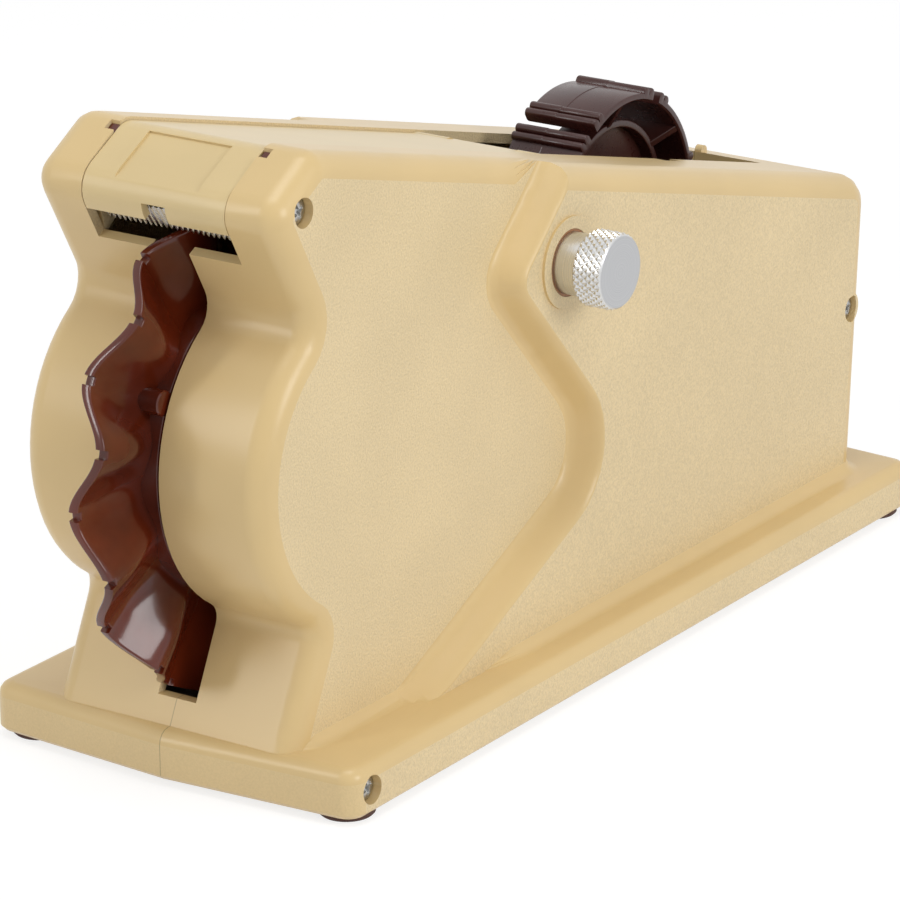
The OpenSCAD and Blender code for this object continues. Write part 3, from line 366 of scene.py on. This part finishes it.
# %% Grid surfaces
def skin(grid, wrap_u=True, wrap_v=True):
    """Skin of a grid of points (u, v, xyz): two triangles for each cell, merged and turned outwards."""
    count_u, count_v = grid.shape[:2]
    u = np.arange(count_u if wrap_u else count_u - 1)[:, None]
    v = np.arange(count_v if wrap_v else count_v - 1)[None, :]
    next_u, next_v = (u + 1) % count_u, (v + 1) % count_v
    a, b = u * count_v + v, next_u * count_v + v
    c, d = next_u * count_v + next_v, u * count_v + next_v
    faces = np.concatenate([np.stack(three, -1).reshape(-1, 3) for three in ((a, b, c), (a, c, d))])
    points, faces = joined(grid.reshape(-1, 3), faces, MICRON / 10)
    corner = points[faces]
    volume = np.einsum("ij,ij->i", corner[:, 0], np.cross(corner[:, 1], corner[:, 2])).sum()
    return points, faces if volume > 0 else faces[:, ::-1]


def stacked(*skins):
    """Several skins as one mesh."""
    offset = np.cumsum([0] + [len(points) for points, faces in skins[:-1]])
    return (np.concatenate([points for points, faces in skins]),
            np.concatenate([faces + start for (points, faces), start in zip(skins, offset)]))


def rounded(outline, radius, steps=4):
    """Closed outline whose corners become curves of second degree, tangent to both sides.

    A curve starts and ends at radius / tan(half the angle) from its corner, at most 0.45 of a side.
    """
    outline = np.asarray(outline, float)
    before, after = np.roll(outline, 1, 0) - outline, np.roll(outline, -1, 0) - outline
    long_a, long_b = np.linalg.norm(before, axis=1), np.linalg.norm(after, axis=1)
    before, after = before / long_a[:, None], after / long_b[:, None]
    half = np.arccos(np.clip((before * after).sum(1), -1, 1)) / 2
    cut = np.minimum(radius / np.tan(half), 0.45 * np.minimum(long_a, long_b))
    start, end = outline + before * cut[:, None], outline + after * cut[:, None]
    t = np.linspace(0, 1, steps + 1)[None, :, None]
    bend = (1 - t) ** 2 * start[:, None] + 2 * t * (1 - t) * outline[:, None] + t ** 2 * end[:, None]
    return bend.reshape(-1, 2)


def round_x(x, radius, angle, centre):
    """Points at x, at a radius and an angle round a line along X through centre (y, z)."""
    return np.stack(np.broadcast_arrays(x, centre[0] + radius * np.cos(angle),
                                        centre[1] + radius * np.sin(angle)), -1)


def all_round(steps):
    """Angles of a full turn, as a column."""
    return np.linspace(0, 2 * math.pi, steps, endpoint=False)[:, None]


def lathe(profile, centre, steps, open_ends=False):
    """Skin of a profile of (x, radius) turned about a line along X through centre (y, z)."""
    x, radius = np.asarray(profile, float).T
    return skin(round_x(x[None, :], radius, all_round(steps), centre), True, not open_ends)


test_rod = lathe([(0.0, 0.0), (0.0, 1.0), (1.0, 1.0), (1.0, 0.0)], (0.0, 0.0), 24, open_ends=True)
print("a rod of 24 steps has", len(test_rod[1]), "triangles")

# %% [markdown]
# The wheel and the reel are moulded from dark brown ABS. In such a dark plastic the eye finds mostly
# what it mirrors, so the gloss matters more than the colour. Melt that cooled at different speeds
# leaves a faint haze, and use leaves fine scuffs that make the gloss uneven. One large noise gives the
# haze, and one small noise the scuffs.

# %% Brown moulded plastics
FLOW_MM, FLOW_SPAN = 22.0, (0.3, 0.7)
SCUFF_MM, SCUFF_DEPTH = 2.2, 0.02 * MM
SCUFF_SMOOTHER, SCUFF_ROUGHER = 0.05, 0.09
BROWN_SPECULAR = 0.38
COAT_ROUGHNESS = 0.06


def brown_plastic(name, light, dark, roughness, coat):
    """Dark ABS with a faint flow haze from moulding, a gloss layer and fine wear in the roughness."""
    made, tree, shader = material(name)
    place = add(tree, "ShaderNodeTexCoord").outputs["Object"]
    flow = add(tree, "ShaderNodeTexNoise", [("Vector", place)], Scale=per_mm(FLOW_MM), Detail=3.0)
    tone = add(tree, "ShaderNodeMapRange", [("Value", flow.outputs["Fac"])], From_Min=FLOW_SPAN[0],
               From_Max=FLOW_SPAN[1])
    colour = add(tree, "ShaderNodeMix", [(0, tone.outputs["Result"]), (6, linear(dark)),
                                         (7, linear(light))], data_type="RGBA")
    tree.links.new(colour.outputs[2], shader.inputs["Base Color"])
    scuff = add(tree, "ShaderNodeTexNoise", [("Vector", place)], Scale=per_mm(SCUFF_MM), Detail=4.0)
    rough = add(tree, "ShaderNodeMapRange", [("Value", scuff.outputs["Fac"])],
                To_Min=roughness - SCUFF_SMOOTHER, To_Max=roughness + SCUFF_ROUGHER)
    tree.links.new(rough.outputs["Result"], shader.inputs["Roughness"])
    bump = add(tree, "ShaderNodeBump", [("Height", scuff.outputs["Fac"])], Distance=SCUFF_DEPTH,
               Strength=0.25)
    tree.links.new(bump.outputs["Normal"], shader.inputs["Normal"])
    shader.inputs["IOR"].default_value = ABS_IOR
    shader.inputs["Specular IOR Level"].default_value = BROWN_SPECULAR
    shader.inputs["Coat Weight"].default_value = coat
    shader.inputs["Coat Roughness"].default_value = COAT_ROUGHNESS
    return made


# glossy reddish brown that mirrors the bright floor on its lowest wave
wheel_brown = brown_plastic("brown_abs_gloss", "#672510", "#4b1a0c", roughness=0.15, coat=0.16)
# darker and duller brown, greyish where it faces the light
reel_brown = brown_plastic("brown_abs_satin", "#46241f", "#371a18", roughness=0.27, coat=0.1)
print("made", wheel_brown.name, reel_brown.name)

# %% [markdown]
# The feed wheel is the hardest form on this object. Its rim is a disc that swings from side to side
# in twelve waves, so the strip of tape is bent along its length as it passes, and stands out stiff
# instead of curling. There is a notch at every crest and every trough. The surface follows a cosine
# round the wheel, and the swing grows from the drum to the rim. A wave modifier would bend a flat disc
# too, but not less at the drum than at the rim.

# %% Feed wheel
WAVES = 12
# swing to each side at the rim, and the share of it that is left at the drum
WAVE_SWING, WAVE_LEAST = 4.3 * MM, 0.35
WAVE_START_R, WAVE_GROWTH = 44.5 * MM, 20.0 * MM
WHEEL_TURN = math.radians(137.5)
WHEEL_SHARP = math.radians(38)
RIM_T, RIM_LIP = 3.0 * MM, 0.55 * MM
# a notch draws the flank in from this far below the rim, and its sides fall over a small angle
NOTCH_DEPTH, NOTCH_W, NOTCH_REACH = 1.8 * MM, 2.5 * MM, 4.0 * MM
NOTCH_SIDE = math.radians(0.06)
WAVE_STEPS, NOTCH_STEPS, FLANK_STEPS, LIP_STEPS = 14, 5, 26, 5
DRUM_R, DRUM_T, DRUM_X, DRUM_SUNK = 47.5 * MM, 4.0 * MM, 5.4 * MM, 2.0 * MM
HUB_R, BORE_R, WEB_X = 12.0 * MM, 7.02 * MM, 1.5 * MM
DRUM_ROUND = 0.5 * MM
wheel_x, wheel_y, wheel_z = joints["wheel_turn"]
wheel_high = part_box("feed_wheel")[1]
rim_r, hub_x = wheel_high.z - wheel_z, wheel_high.x


def wavy_rim():
    """x = swing(r) cos(12 a) plus half a thickness each side; r stops lower inside a notch."""
    pitch = math.pi / WAVES
    half = NOTCH_W / 2 / rim_r
    beside = np.linspace(half + NOTCH_SIDE, pitch / 2, WAVE_STEPS, endpoint=False)
    notch = np.linspace(-half + NOTCH_SIDE, half - NOTCH_SIDE, NOTCH_STEPS)
    cell = np.concatenate([[-pitch / 2], -beside[::-1], notch, beside])
    angle = (np.arange(2 * WAVES)[:, None] * pitch + cell[None, :]).reshape(-1, 1)
    cut = np.tile(np.where(np.abs(cell) < half, NOTCH_DEPTH, 0.0), 2 * WAVES)[:, None]
    lip = np.linspace(0, math.pi / 2, LIP_STEPS)
    flank = np.linspace(DRUM_R - DRUM_SUNK, rim_r - RIM_LIP, FLANK_STEPS, endpoint=False)
    radius = np.concatenate([flank, rim_r - RIM_LIP + RIM_LIP * np.sin(lip)])
    offset = RIM_T / 2 - np.concatenate([np.zeros(FLANK_STEPS), RIM_LIP - RIM_LIP * np.cos(lip)])
    radius, offset = np.concatenate([radius, radius[::-1]]), np.concatenate([offset, -offset[::-1]])
    r = radius - cut * np.clip((radius - rim_r + NOTCH_REACH) / NOTCH_REACH, 0, 1)
    grow = np.clip((r - WAVE_START_R) / WAVE_GROWTH, 0, 1)
    swing = WAVE_SWING * (WAVE_LEAST + (1 - WAVE_LEAST) * grow ** 2 * (3 - 2 * grow))
    x = wheel_x + swing * np.cos(WAVES * angle) + offset
    return skin(round_x(x, r, angle + WHEEL_TURN, (wheel_y, wheel_z)))


half_drum = [(DRUM_X, DRUM_R), (DRUM_X, DRUM_R - DRUM_T), (WEB_X, DRUM_R - DRUM_T), (WEB_X, HUB_R),
             (hub_x, HUB_R), (hub_x, BORE_R)]
drum_profile = rounded([(-x, radius) for x, radius in half_drum[::-1]] + half_drum, DRUM_ROUND)
wheel_skins = [wavy_rim(), lathe(drum_profile, (wheel_y, wheel_z), steps=160)]
print("rim radius", round(rim_r / MM, 2), "mm,", len(wheel_skins[0][1]), "triangles in the rim")

# %% [markdown]
# A round peg stands in the wheel close to the drum. It was moulded with the wheel, so it goes into the
# same mesh and takes the same finish. A cylinder with a bevel would do, but the profile that is turned
# for the drum makes it as well, with its two edges broken.

# %% Wheel peg
PEG_R, PEG_BEVEL, PEG_PROUD = 3.6 * MM, 0.4 * MM, 0.3 * MM
PEG_RING = DRUM_R + 1.5 * MM
PEG_ANGLE = WHEEL_TURN + math.radians(15)
peg_end = DRUM_X + PEG_PROUD
peg_profile = [(-DRUM_X, 0.0), (-DRUM_X, PEG_R - PEG_BEVEL), (PEG_BEVEL - DRUM_X, PEG_R),
               (peg_end - PEG_BEVEL, PEG_R), (peg_end, PEG_R - PEG_BEVEL), (peg_end, 0.0)]
peg_c = (wheel_y + PEG_RING * math.cos(PEG_ANGLE), wheel_z + PEG_RING * math.sin(PEG_ANGLE))
wheel_skin = stacked(*wheel_skins, lathe(peg_profile, peg_c, steps=48, open_ends=True))
wheel = piece("wavy_wheel", *wheel_skin, wheel_brown, "wheel", WHEEL_SHARP)
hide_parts("feed_wheel")
print("wheel:", len(wheel_skin[1]), "triangles")

# %% [markdown]
# The reel carries the cardboard core of a tape roll. It is one dark brown moulding: a cupped hub, six
# flat webs that widen outwards, and six sprung segments with an open slot between neighbours. Two
# round ridges beside every slot grip the core. Each ring of a segment's grid asks which is higher at
# its angle, the plain wall or the circle of a ridge, and a shallow step runs round the outside. A tube
# cut by booleans would leave long thin triangles beside the ridges, and those shade badly.

# %% Core reel
SEGMENTS = 6
SPLIT_AT = math.radians(124.5)
SEGMENT_PITCH = 2 * math.pi / SEGMENTS
SLOT_HALF = math.radians(3.0)
RIDGE_END = math.radians(12.5)
RIDGE_AT = np.radians((4.96, 9.48))
RIDGE_RING, RIDGE_R = 36.7 * MM, 1.3 * MM
RIDGE_STEPS, WALL_STEPS = 40, 16
WALL_IN, WALL_OUT = 33.8 * MM, 36.2 * MM
# across the segment: x, and how far it lies below its top or above its inside
SEGMENT_LOOP = np.array([(-12.5, 0.5), (-12.35, 0.15), (-12.0, 0.0), (-1.6, 0.0), (-1.45, 0.18),
                         (12.0, 0.18), (12.35, 0.33), (12.5, 0.68)]) * MM
SEGMENT_INSIDE = np.array([(12.5, 0.5), (12.0, 0.0), (-12.0, 0.0), (-12.5, 0.5)]) * MM
# x and radius of a web's corners
WEB = np.array([(-6.5, 26.0), (6.5, 26.0), (12.0, 34.3), (-12.0, 34.3)]) * MM
WEB_T, WEB_BEVEL = 2.2 * MM, 0.2 * MM
CUP_R, CUP_IN, CUP_X, DISC_X = 27.0 * MM, 24.8 * MM, 6.5 * MM, 2.2 * MM
CORE_HUB_R, CORE_BORE_R, CORE_ROUND = 7.0 * MM, 4.05 * MM, 0.4 * MM
reel_c = joints["reel_turn"][1:]
core_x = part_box("reel")[1].x


def segment(start):
    """Outer radius c cos d + sqrt(r2 - c2 sin2 d) at an angle d from a ridge circle, else the wall."""
    ridged = np.linspace(SLOT_HALF, RIDGE_END, RIDGE_STEPS)
    plain = np.linspace(RIDGE_END, SEGMENT_PITCH - RIDGE_END, WALL_STEPS)[1:-1]
    angle = np.concatenate([ridged, plain, SEGMENT_PITCH - ridged[::-1]])
    from_ridge = np.minimum(angle, SEGMENT_PITCH - angle)[:, None] - RIDGE_AT
    left = RIDGE_R ** 2 - (RIDGE_RING * np.sin(from_ridge)) ** 2
    ridge = np.where(left > 0, RIDGE_RING * np.cos(from_ridge) + np.sqrt(np.maximum(left, 0)), 0.0)
    outside = np.maximum(ridge.max(1), WALL_OUT)[:, None] - SEGMENT_LOOP[:, 1]
    inside = np.repeat(WALL_IN + SEGMENT_INSIDE[None, :, 1], len(angle), 0)
    x = np.concatenate([SEGMENT_LOOP[:, 0], SEGMENT_INSIDE[:, 0]])
    loops = round_x(x[None, :], np.concatenate([outside, inside], 1), start + angle[:, None], reel_c)
    ends = [np.repeat(loops[i].mean(0)[None], len(x), 0)[None] for i in (0, -1)]
    return skin(np.concatenate([ends[0], loops, ends[1]]), False, True)


def slab(outline, thick, bevel, place):
    """Flat plate of an outline (a, b): its rims shrink for the bevel, its faces close to the middle."""
    outline = np.asarray(outline, float)
    middle = np.repeat(outline.mean(0)[None], len(outline), 0)
    small = middle + (outline - middle) * (1 - bevel / np.abs(outline - middle).max())
    rows = ((middle, -thick / 2), (small, -thick / 2), (outline, bevel - thick / 2),
            (outline, thick / 2 - bevel), (small, thick / 2), (middle, thick / 2))
    return skin(np.stack([place(flat[:, 0], flat[:, 1], depth) for flat, depth in rows]), False, True)


def web(angle):
    """A flat web from the cup to the wall of a segment, its thickness square to the radius at an angle."""
    aside = np.array([0.0, -math.sin(angle), math.cos(angle)])
    return slab(WEB, WEB_T, WEB_BEVEL,
                lambda x, radius, depth: round_x(x, radius, angle, reel_c) + depth * aside)


half_core = [(CUP_X, CUP_R), (CUP_X, CUP_IN), (DISC_X, CUP_IN), (DISC_X, CORE_HUB_R),
             (core_x, CORE_HUB_R), (core_x, CORE_BORE_R)]
core_profile = rounded([(-x, radius) for x, radius in half_core[::-1]] + half_core, CORE_ROUND)
starts = SPLIT_AT + SEGMENT_PITCH * np.arange(SEGMENTS)
reel_skin = stacked(*[segment(a) for a in starts], *[web(a + SEGMENT_PITCH / 2) for a in starts],
                    lathe(core_profile, reel_c, steps=120))
reel = piece("split_core_reel", *reel_skin, reel_brown, "core_reel")
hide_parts("reel")
print("reel:", SEGMENTS, "segments,", len(reel_skin[1]), "triangles")

# %% [markdown]
# Turned metal shows fine rings, because the tool leaves a spiral. The distance from the axis and the
# place along it go into one noise, so the rings run round the axis on faces and on cylinders alike.
# Sheet and ground metal is brushed in one direction instead, so its noise is drawn out along X. Real
# tool marks and scratches are mostly finer than a tenth of a millimetre. They are drawn coarser here,
# because they would not show in the picture. The same noise goes into colour, gloss and bump, so that
# a mark is one mark to the eye.

# %% Metals
DULLER, SHINIER = 0.07, 0.05
FACE_EDGE = 0.3 * MM
# painted sheen on the knob's shank and painted shade on its face, carried in the colour and also in the
# roughness
SHANK_PAINTED_SHEEN, FACE_PAINTED_SHADE = 0.35, -0.25


def metal(name, light, dark, roughness, texture, height_mm):
    """A metal between two tones, with the same noise in its colour, roughness and bump."""
    made, tree, shader = material(name)
    noise = texture(tree, add(tree, "ShaderNodeTexCoord").outputs["Object"])
    colour = add(tree, "ShaderNodeMix", [(0, noise), (6, linear(dark)), (7, linear(light))],
                 data_type="RGBA")
    tree.links.new(colour.outputs[2], shader.inputs["Base Color"])
    rough = add(tree, "ShaderNodeMapRange", [("Value", noise)], To_Min=roughness + DULLER,
                To_Max=roughness - SHINIER)
    tree.links.new(rough.outputs["Result"], shader.inputs["Roughness"])
    bump = add(tree, "ShaderNodeBump", [("Height", noise)], Distance=height_mm * MM, Strength=0.5)
    tree.links.new(bump.outputs["Normal"], shader.inputs["Normal"])
    shader.inputs["Metallic"].default_value = 1.0
    return made


def rings(centre, ring_mm, face_x):
    """Texture of lathe rings about an axis along X through centre (y, z), with painted sheen short of the
    face at face_x and painted shade on it.
    """
    def texture(tree, place):
        """Noise on (distance from the axis, x), raised short of the face for painted sheen, lowered on it
        for painted shade.
        """
        off = add(tree, "ShaderNodeVectorMath", [(0, place), (1, (0.0, *centre))], operation="SUBTRACT")
        flat = add(tree, "ShaderNodeVectorMath", [(0, off.outputs[0]), (1, (0.0, 1.0, 1.0))],
                   operation="MULTIPLY")
        away = add(tree, "ShaderNodeVectorMath", [(0, flat.outputs[0])], operation="LENGTH")
        x = add(tree, "ShaderNodeSeparateXYZ", [("Vector", place)]).outputs["X"]
        both = add(tree, "ShaderNodeCombineXYZ", [("X", away.outputs["Value"]), ("Y", x)])
        noise = add(tree, "ShaderNodeTexNoise", [("Vector", both.outputs[0])], Scale=per_mm(ring_mm),
                    Detail=2.0)
        # the shank's colour is lifted as painted sheen and the face's lowered as painted shade, and the
        # same shift sets their gloss
        painted_sheen_and_shade = add(tree, "ShaderNodeMapRange", [("Value", x)], From_Min=face_x - FACE_EDGE,
                    From_Max=face_x, To_Min=SHANK_PAINTED_SHEEN, To_Max=FACE_PAINTED_SHADE)
        return add(tree, "ShaderNodeMath", [(0, noise.outputs["Fac"]), (1, painted_sheen_and_shade.outputs["Result"])],
                   operation="ADD").outputs[0]
    return texture


def brushed(line_mm, drawn_out):
    """Texture of fine lines along X, drawn_out times as long as they are wide."""
    def texture(tree, place):
        """Noise on Object coordinates squeezed along X."""
        squeezed = add(tree, "ShaderNodeVectorMath", [(0, place), (1, (1.0 / drawn_out, 1.0, 1.0))],
                       operation="MULTIPLY")
        return add(tree, "ShaderNodeTexNoise", [("Vector", squeezed.outputs[0])], Scale=per_mm(line_mm),
                   Detail=2.0).outputs["Fac"]
    return texture


knob_c = joints["knob_turn"][1:]
knob_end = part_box("knurled_knob")[1].x
# bright metal broken up by the knurl, with painted sheen lightening the shank and painted shade greying the
# face, which is also rougher
turned_aluminium = metal("turned_aluminium", "#dcdcdb", "#b0b1b4", roughness=0.32,
                         texture=rings(knob_c, ring_mm=0.3, face_x=knob_end), height_mm=0.02)
# plated screws, rivets and clips, a little dull and uneven
zinc_steel = metal("zinc_plated_steel", "#c9c9c6", "#a9aaab", roughness=0.32,
                   texture=brushed(line_mm=1.6, drawn_out=1.5), height_mm=0.02)
# ground blade that flashes along its ribs
blade_steel = metal("ground_blade_steel", "#dadbda", "#c2c3c4", roughness=0.26,
                    texture=brushed(line_mm=0.25, drawn_out=12.0), height_mm=0.01)
# drawn bars for axles and pins, with faint lines along their length
axle_steel = metal("drawn_axle_steel", "#c4c5c6", "#a8a9ab", roughness=0.28,
                   texture=brushed(line_mm=0.35, drawn_out=25.0), height_mm=0.01)
# rolled sheet for the bottom plate, greyer and duller than the bars
sheet_steel = metal("rolled_sheet_steel", "#a5a7a9", "#8b8d90", roughness=0.42,
                    texture=brushed(line_mm=0.8, drawn_out=30.0), height_mm=0.02)
# warm yellow inserts and bushes
brass = metal("turned_brass", "#c9a663", "#a98544", roughness=0.3,
              texture=brushed(line_mm=0.6, drawn_out=2.0), height_mm=0.02)
print("made", len([m for m in bpy.data.materials if m.use_nodes]), "materials so far")

# %% [markdown]
# The knob is turned from bar. Its rim was rolled with a diamond knurl, two families of slanted grooves
# that leave small pyramids, so that dry or oily fingers can turn it. A triangle wave for each family
# gives the groove, and the lower of the two is the surface. The bevels cut the pyramids off. A bump
# would be less work, but the outline of the rim would stay smooth.

# %% Knurled knob
KNURLS, KNURL_STEPS = 32, 12
KNURL_PITCH, KNURL_DEPTH = 2.6 * MM, 0.65 * MM
KNURL_SHARP = math.radians(24)
KNOB_R, KNOB_FACE_R = 11.25 * MM, 10.25 * MM
SHANK_R, SHANK_BEVEL, NECK = 9.0 * MM, 0.4 * MM, 0.3 * MM
SHAFT_BORE_R = 4.02 * MM
SHANK_X, BORE_END, HEAD_X = 34.5 * MM, 49.0 * MM, 58.5 * MM


def knob_grid():
    """r = R - depth (1 - lower of two triangle waves of angle and x), cut by 45 degree bevels."""
    angle = all_round(KNURLS * KNURL_STEPS)
    along = np.append(np.arange(HEAD_X, knob_end, KNURL_PITCH / KNURL_STEPS), knob_end)
    turns, slant = angle * KNURLS / (2 * math.pi), (along - HEAD_X) / KNURL_PITCH
    wave = [2 * np.abs((turns + sign * slant) % 1 - 0.5) for sign in (1, -1)]
    knurl = KNOB_R - KNURL_DEPTH * (1 - np.minimum(*wave))
    bevel = KNOB_FACE_R + np.minimum(along - HEAD_X, knob_end - along)
    start = np.array([(BORE_END, 0), (BORE_END, SHAFT_BORE_R), (SHANK_X, SHAFT_BORE_R),
                      (SHANK_X, SHANK_R - SHANK_BEVEL), (SHANK_X + SHANK_BEVEL, SHANK_R),
                      (HEAD_X - NECK, SHANK_R), (HEAD_X, SHANK_R + NECK)])
    x = np.concatenate([start[:, 0], along, [knob_end]])
    plain = np.repeat(start[None, :, 1], len(angle), 0)
    r = np.concatenate([plain, np.minimum(knurl, bevel), np.zeros_like(angle)], 1)
    return round_x(x[None, :], r, angle, knob_c)


knob_skin = skin(knob_grid(), True, False)
knob = piece("diamond_knurled_knob", *knob_skin, turned_aluminium, "roller", KNURL_SHARP)
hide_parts("knurled_knob")
print("knob:", len(knob_skin[1]), "triangles")

# %% [markdown]
# Three pan head screws close the case from the right. The cross recess was struck by a cold heading
# punch, so its arms run out towards the rim. The head is a height over the polar plane, a low dome
# less the cross, and the same rings go on down the side of the head and along the shank. A boolean
# would cut the cross too, but with hard edges, and struck metal has soft ones.

# %% Case screws
HEAD_R, HEAD_T, DOME = 3.9 * MM, 2.6 * MM, 0.9 * MM
HEAD_EDGE, HEAD_SIDE = 0.1 * MM, 0.15 * MM
HEAD_STEPS, TURN_STEPS = 36, 144
CROSS_TURN = math.radians(25)
ARM_L, ARM_HALF, ARM_DEPTH, ARM_EDGE, ARM_RISE = 2.3 * MM, 0.55 * MM, 1.5 * MM, 0.2 * MM, 0.5
SCREW_R = 2.0 * MM
# y and z of the axis, x of the seat and of the tip
SCREWS = np.array([(-141.2, 169.0, 37.0, -34.2), (-144.0, 9.0, 58.5, -10.0),
                   (134.0, 69.0, 46.0, -10.0)]) * MM


def arm(along, across):
    """Depth of one pair of cross arms, full in the middle, rising outwards and zero past its edges."""
    along, across = np.abs(along), np.abs(across)
    inside = np.clip((ARM_HALF - across) / ARM_EDGE, 0, 1) * np.clip((ARM_L - along) / ARM_EDGE, 0, 1)
    return inside * (ARM_DEPTH - ARM_RISE * along)


def screw(y, z, seat, tip):
    """x = top - dome (r / R) cubed - cross, then the rim, the seat and the shank down to its tip."""
    angle = all_round(TURN_STEPS)
    radius = np.linspace(0, HEAD_R - HEAD_EDGE, HEAD_STEPS)
    a, b = radius * np.cos(angle - CROSS_TURN), radius * np.sin(angle - CROSS_TURN)
    top = seat + HEAD_T - DOME * (radius / HEAD_R) ** 3 - np.maximum(arm(a, b), arm(b, a))
    below = np.array([(seat + HEAD_T - DOME - HEAD_SIDE, HEAD_R), (seat + HEAD_EDGE, HEAD_R),
                      (seat, HEAD_R - HEAD_EDGE), (seat, SCREW_R), (tip, SCREW_R), (tip, 0.0)])
    x = np.concatenate([top, np.repeat(below[None, :, 0], len(angle), 0)], 1)
    r = np.concatenate([radius, below[:, 1]])[None, :]
    return skin(round_x(x, r, angle, (y, z)), True, False)


screw_skin = stacked(*[screw(*row) for row in SCREWS])
screws = piece("cross_head_screws", *screw_skin, zinc_steel, "frame")
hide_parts("case_screws")
print("screws:", len(SCREWS), "with", len(screw_skin[1]), "triangles")

# %% [markdown]
# Two small square windows beside the cover open on the catches that hold it down. Only their tops
# can be seen, so each is a short block that follows the slope of the nose a little below its surface.
# The plate function of the reel's webs makes them too, so no new shape has to be written. The blocks
# take the wheel's brown as painted shade, standing in for the shaded inside of the windows.

# %% Latch catches, coloured as painted shade
CATCH_Y, CATCH_L, CATCH_X, CATCH_W = -136.6 * MM, 3.0 * MM, 25.8 * MM, 2.9 * MM
CATCH_LOW, CATCH_TOP, CATCH_BEVEL = 175.1 * MM, 181.0 * MM, 0.15 * MM
# rise of the nose for each step towards the rear
NOSE_FALL = 0.578
catch_front, catch_rear = CATCH_Y - CATCH_L / 2, CATCH_Y + CATCH_L / 2
catch_rise = NOSE_FALL * CATCH_L / 2
catch_outline = [(catch_front, CATCH_LOW), (catch_rear, CATCH_LOW), (catch_rear, CATCH_TOP + catch_rise),
                 (catch_front, CATCH_TOP - catch_rise)]


def catch(x):
    """A block of the side outline, centred on x."""
    return slab(catch_outline, CATCH_W, CATCH_BEVEL,
                lambda y, z, depth: np.stack(np.broadcast_arrays(x + depth, y, z), -1))


# the blocks are coloured brown as painted shade of the windows' insides
painted_shade_catches = piece("latch_catches_painted_shade", *stacked(catch(-CATCH_X), catch(CATCH_X)), wheel_brown, "frame")
print("catches:", len(painted_shade_catches.data.polygons), "triangles")

# %% [markdown]
# The rest keeps its solid and gets the finish of its real material. Rubber and felt are dull and a
# little uneven, nylon is waxy, so each is one noise with its own size and height. They are small or
# half hidden, and a node tree of their own for each would hardly be seen.

# %% Finishes of the other parts
def dull(name, light, dark, roughness, grain_mm, height_mm):
    """A soft dull material between two tones, with a bump of the same noise."""
    made, tree, shader = material(name)
    place = add(tree, "ShaderNodeTexCoord").outputs["Object"]
    noise = add(tree, "ShaderNodeTexNoise", [("Vector", place)], Scale=per_mm(grain_mm),
                Detail=3.0).outputs["Fac"]
    colour = add(tree, "ShaderNodeMix", [(0, noise), (6, linear(dark)), (7, linear(light))],
                 data_type="RGBA")
    tree.links.new(colour.outputs[2], shader.inputs["Base Color"])
    bump = add(tree, "ShaderNodeBump", [("Height", noise)], Distance=height_mm * MM, Strength=0.6)
    tree.links.new(bump.outputs["Normal"], shader.inputs["Normal"])
    shader.inputs["Roughness"].default_value = roughness
    return made


# dull dark rubber that hardly shines
foot_rubber = dull("brown_rubber", "#5a3c32", "#452c25", roughness=0.75, grain_mm=0.8, height_mm=0.05)
# grippy black sleeve of the guide roller
roller_rubber = dull("black_rubber", "#2d2d2f", "#212123", roughness=0.68, grain_mm=0.6, height_mm=0.04)
# waxy bushes, spacers and washers with a soft sheen
tan_nylon = dull("tan_nylon", "#a06c3d", "#885a32", roughness=0.45, grain_mm=3.0, height_mm=0.01)
dark_nylon = dull("brown_nylon", "#452a20", "#361f17", roughness=0.42, grain_mm=3.0, height_mm=0.01)
grey_nylon = dull("grey_nylon", "#b9b7b0", "#a9a7a0", roughness=0.45, grain_mm=3.0, height_mm=0.01)
# pressed fibres that scatter all light
grey_felt = dull("pressed_felt", "#8a8680", "#5f5c57", roughness=0.95, grain_mm=0.35, height_mm=0.12)
# sprayed bracket with the slight orange peel of paint
holder_paint = dull("grey_paint", "#77797d", "#66686c", roughness=0.5, grain_mm=1.2, height_mm=0.02)
FINISH = {
    "cutter_blade": blade_steel, "blade_holder": holder_paint, "blade_rivets": zinc_steel,
    "cover_hinge_pin": axle_steel, "wheel_axle": axle_steel, "reel_axle": axle_steel,
    "roller_shaft": axle_steel, "knob_pin": axle_steel, "tension_spring": axle_steel,
    "wheel_bushes": brass, "screw_inserts": brass, "bottom_plate": sheet_steel,
    "wheel_washers": grey_nylon, "reel_spacers": dark_nylon, "roller_bush": tan_nylon,
    "reel_clips": zinc_steel, "foot_screws": zinc_steel, "friction_washer": grey_felt,
    "guide_roller": roller_rubber, "feet": foot_rubber,
}
for node, finish in FINISH.items():
    nodes[node].data.materials.clear()
    nodes[node].data.materials.append(finish)
print("finished", len(FINISH), "solids")

# %% [markdown]
# The box round everything is measured once more. It should be the box of the solids, because the new
# skins stand for solids of the same size, and a skin that grew would show here first.

# %% Sizes kept for comparison
new_low, new_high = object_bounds()
change = np.abs([*(new_low - cad_low), *(new_high - cad_high)]).max()
print("largest change of the box:", round(change / MM, 4), "mm")
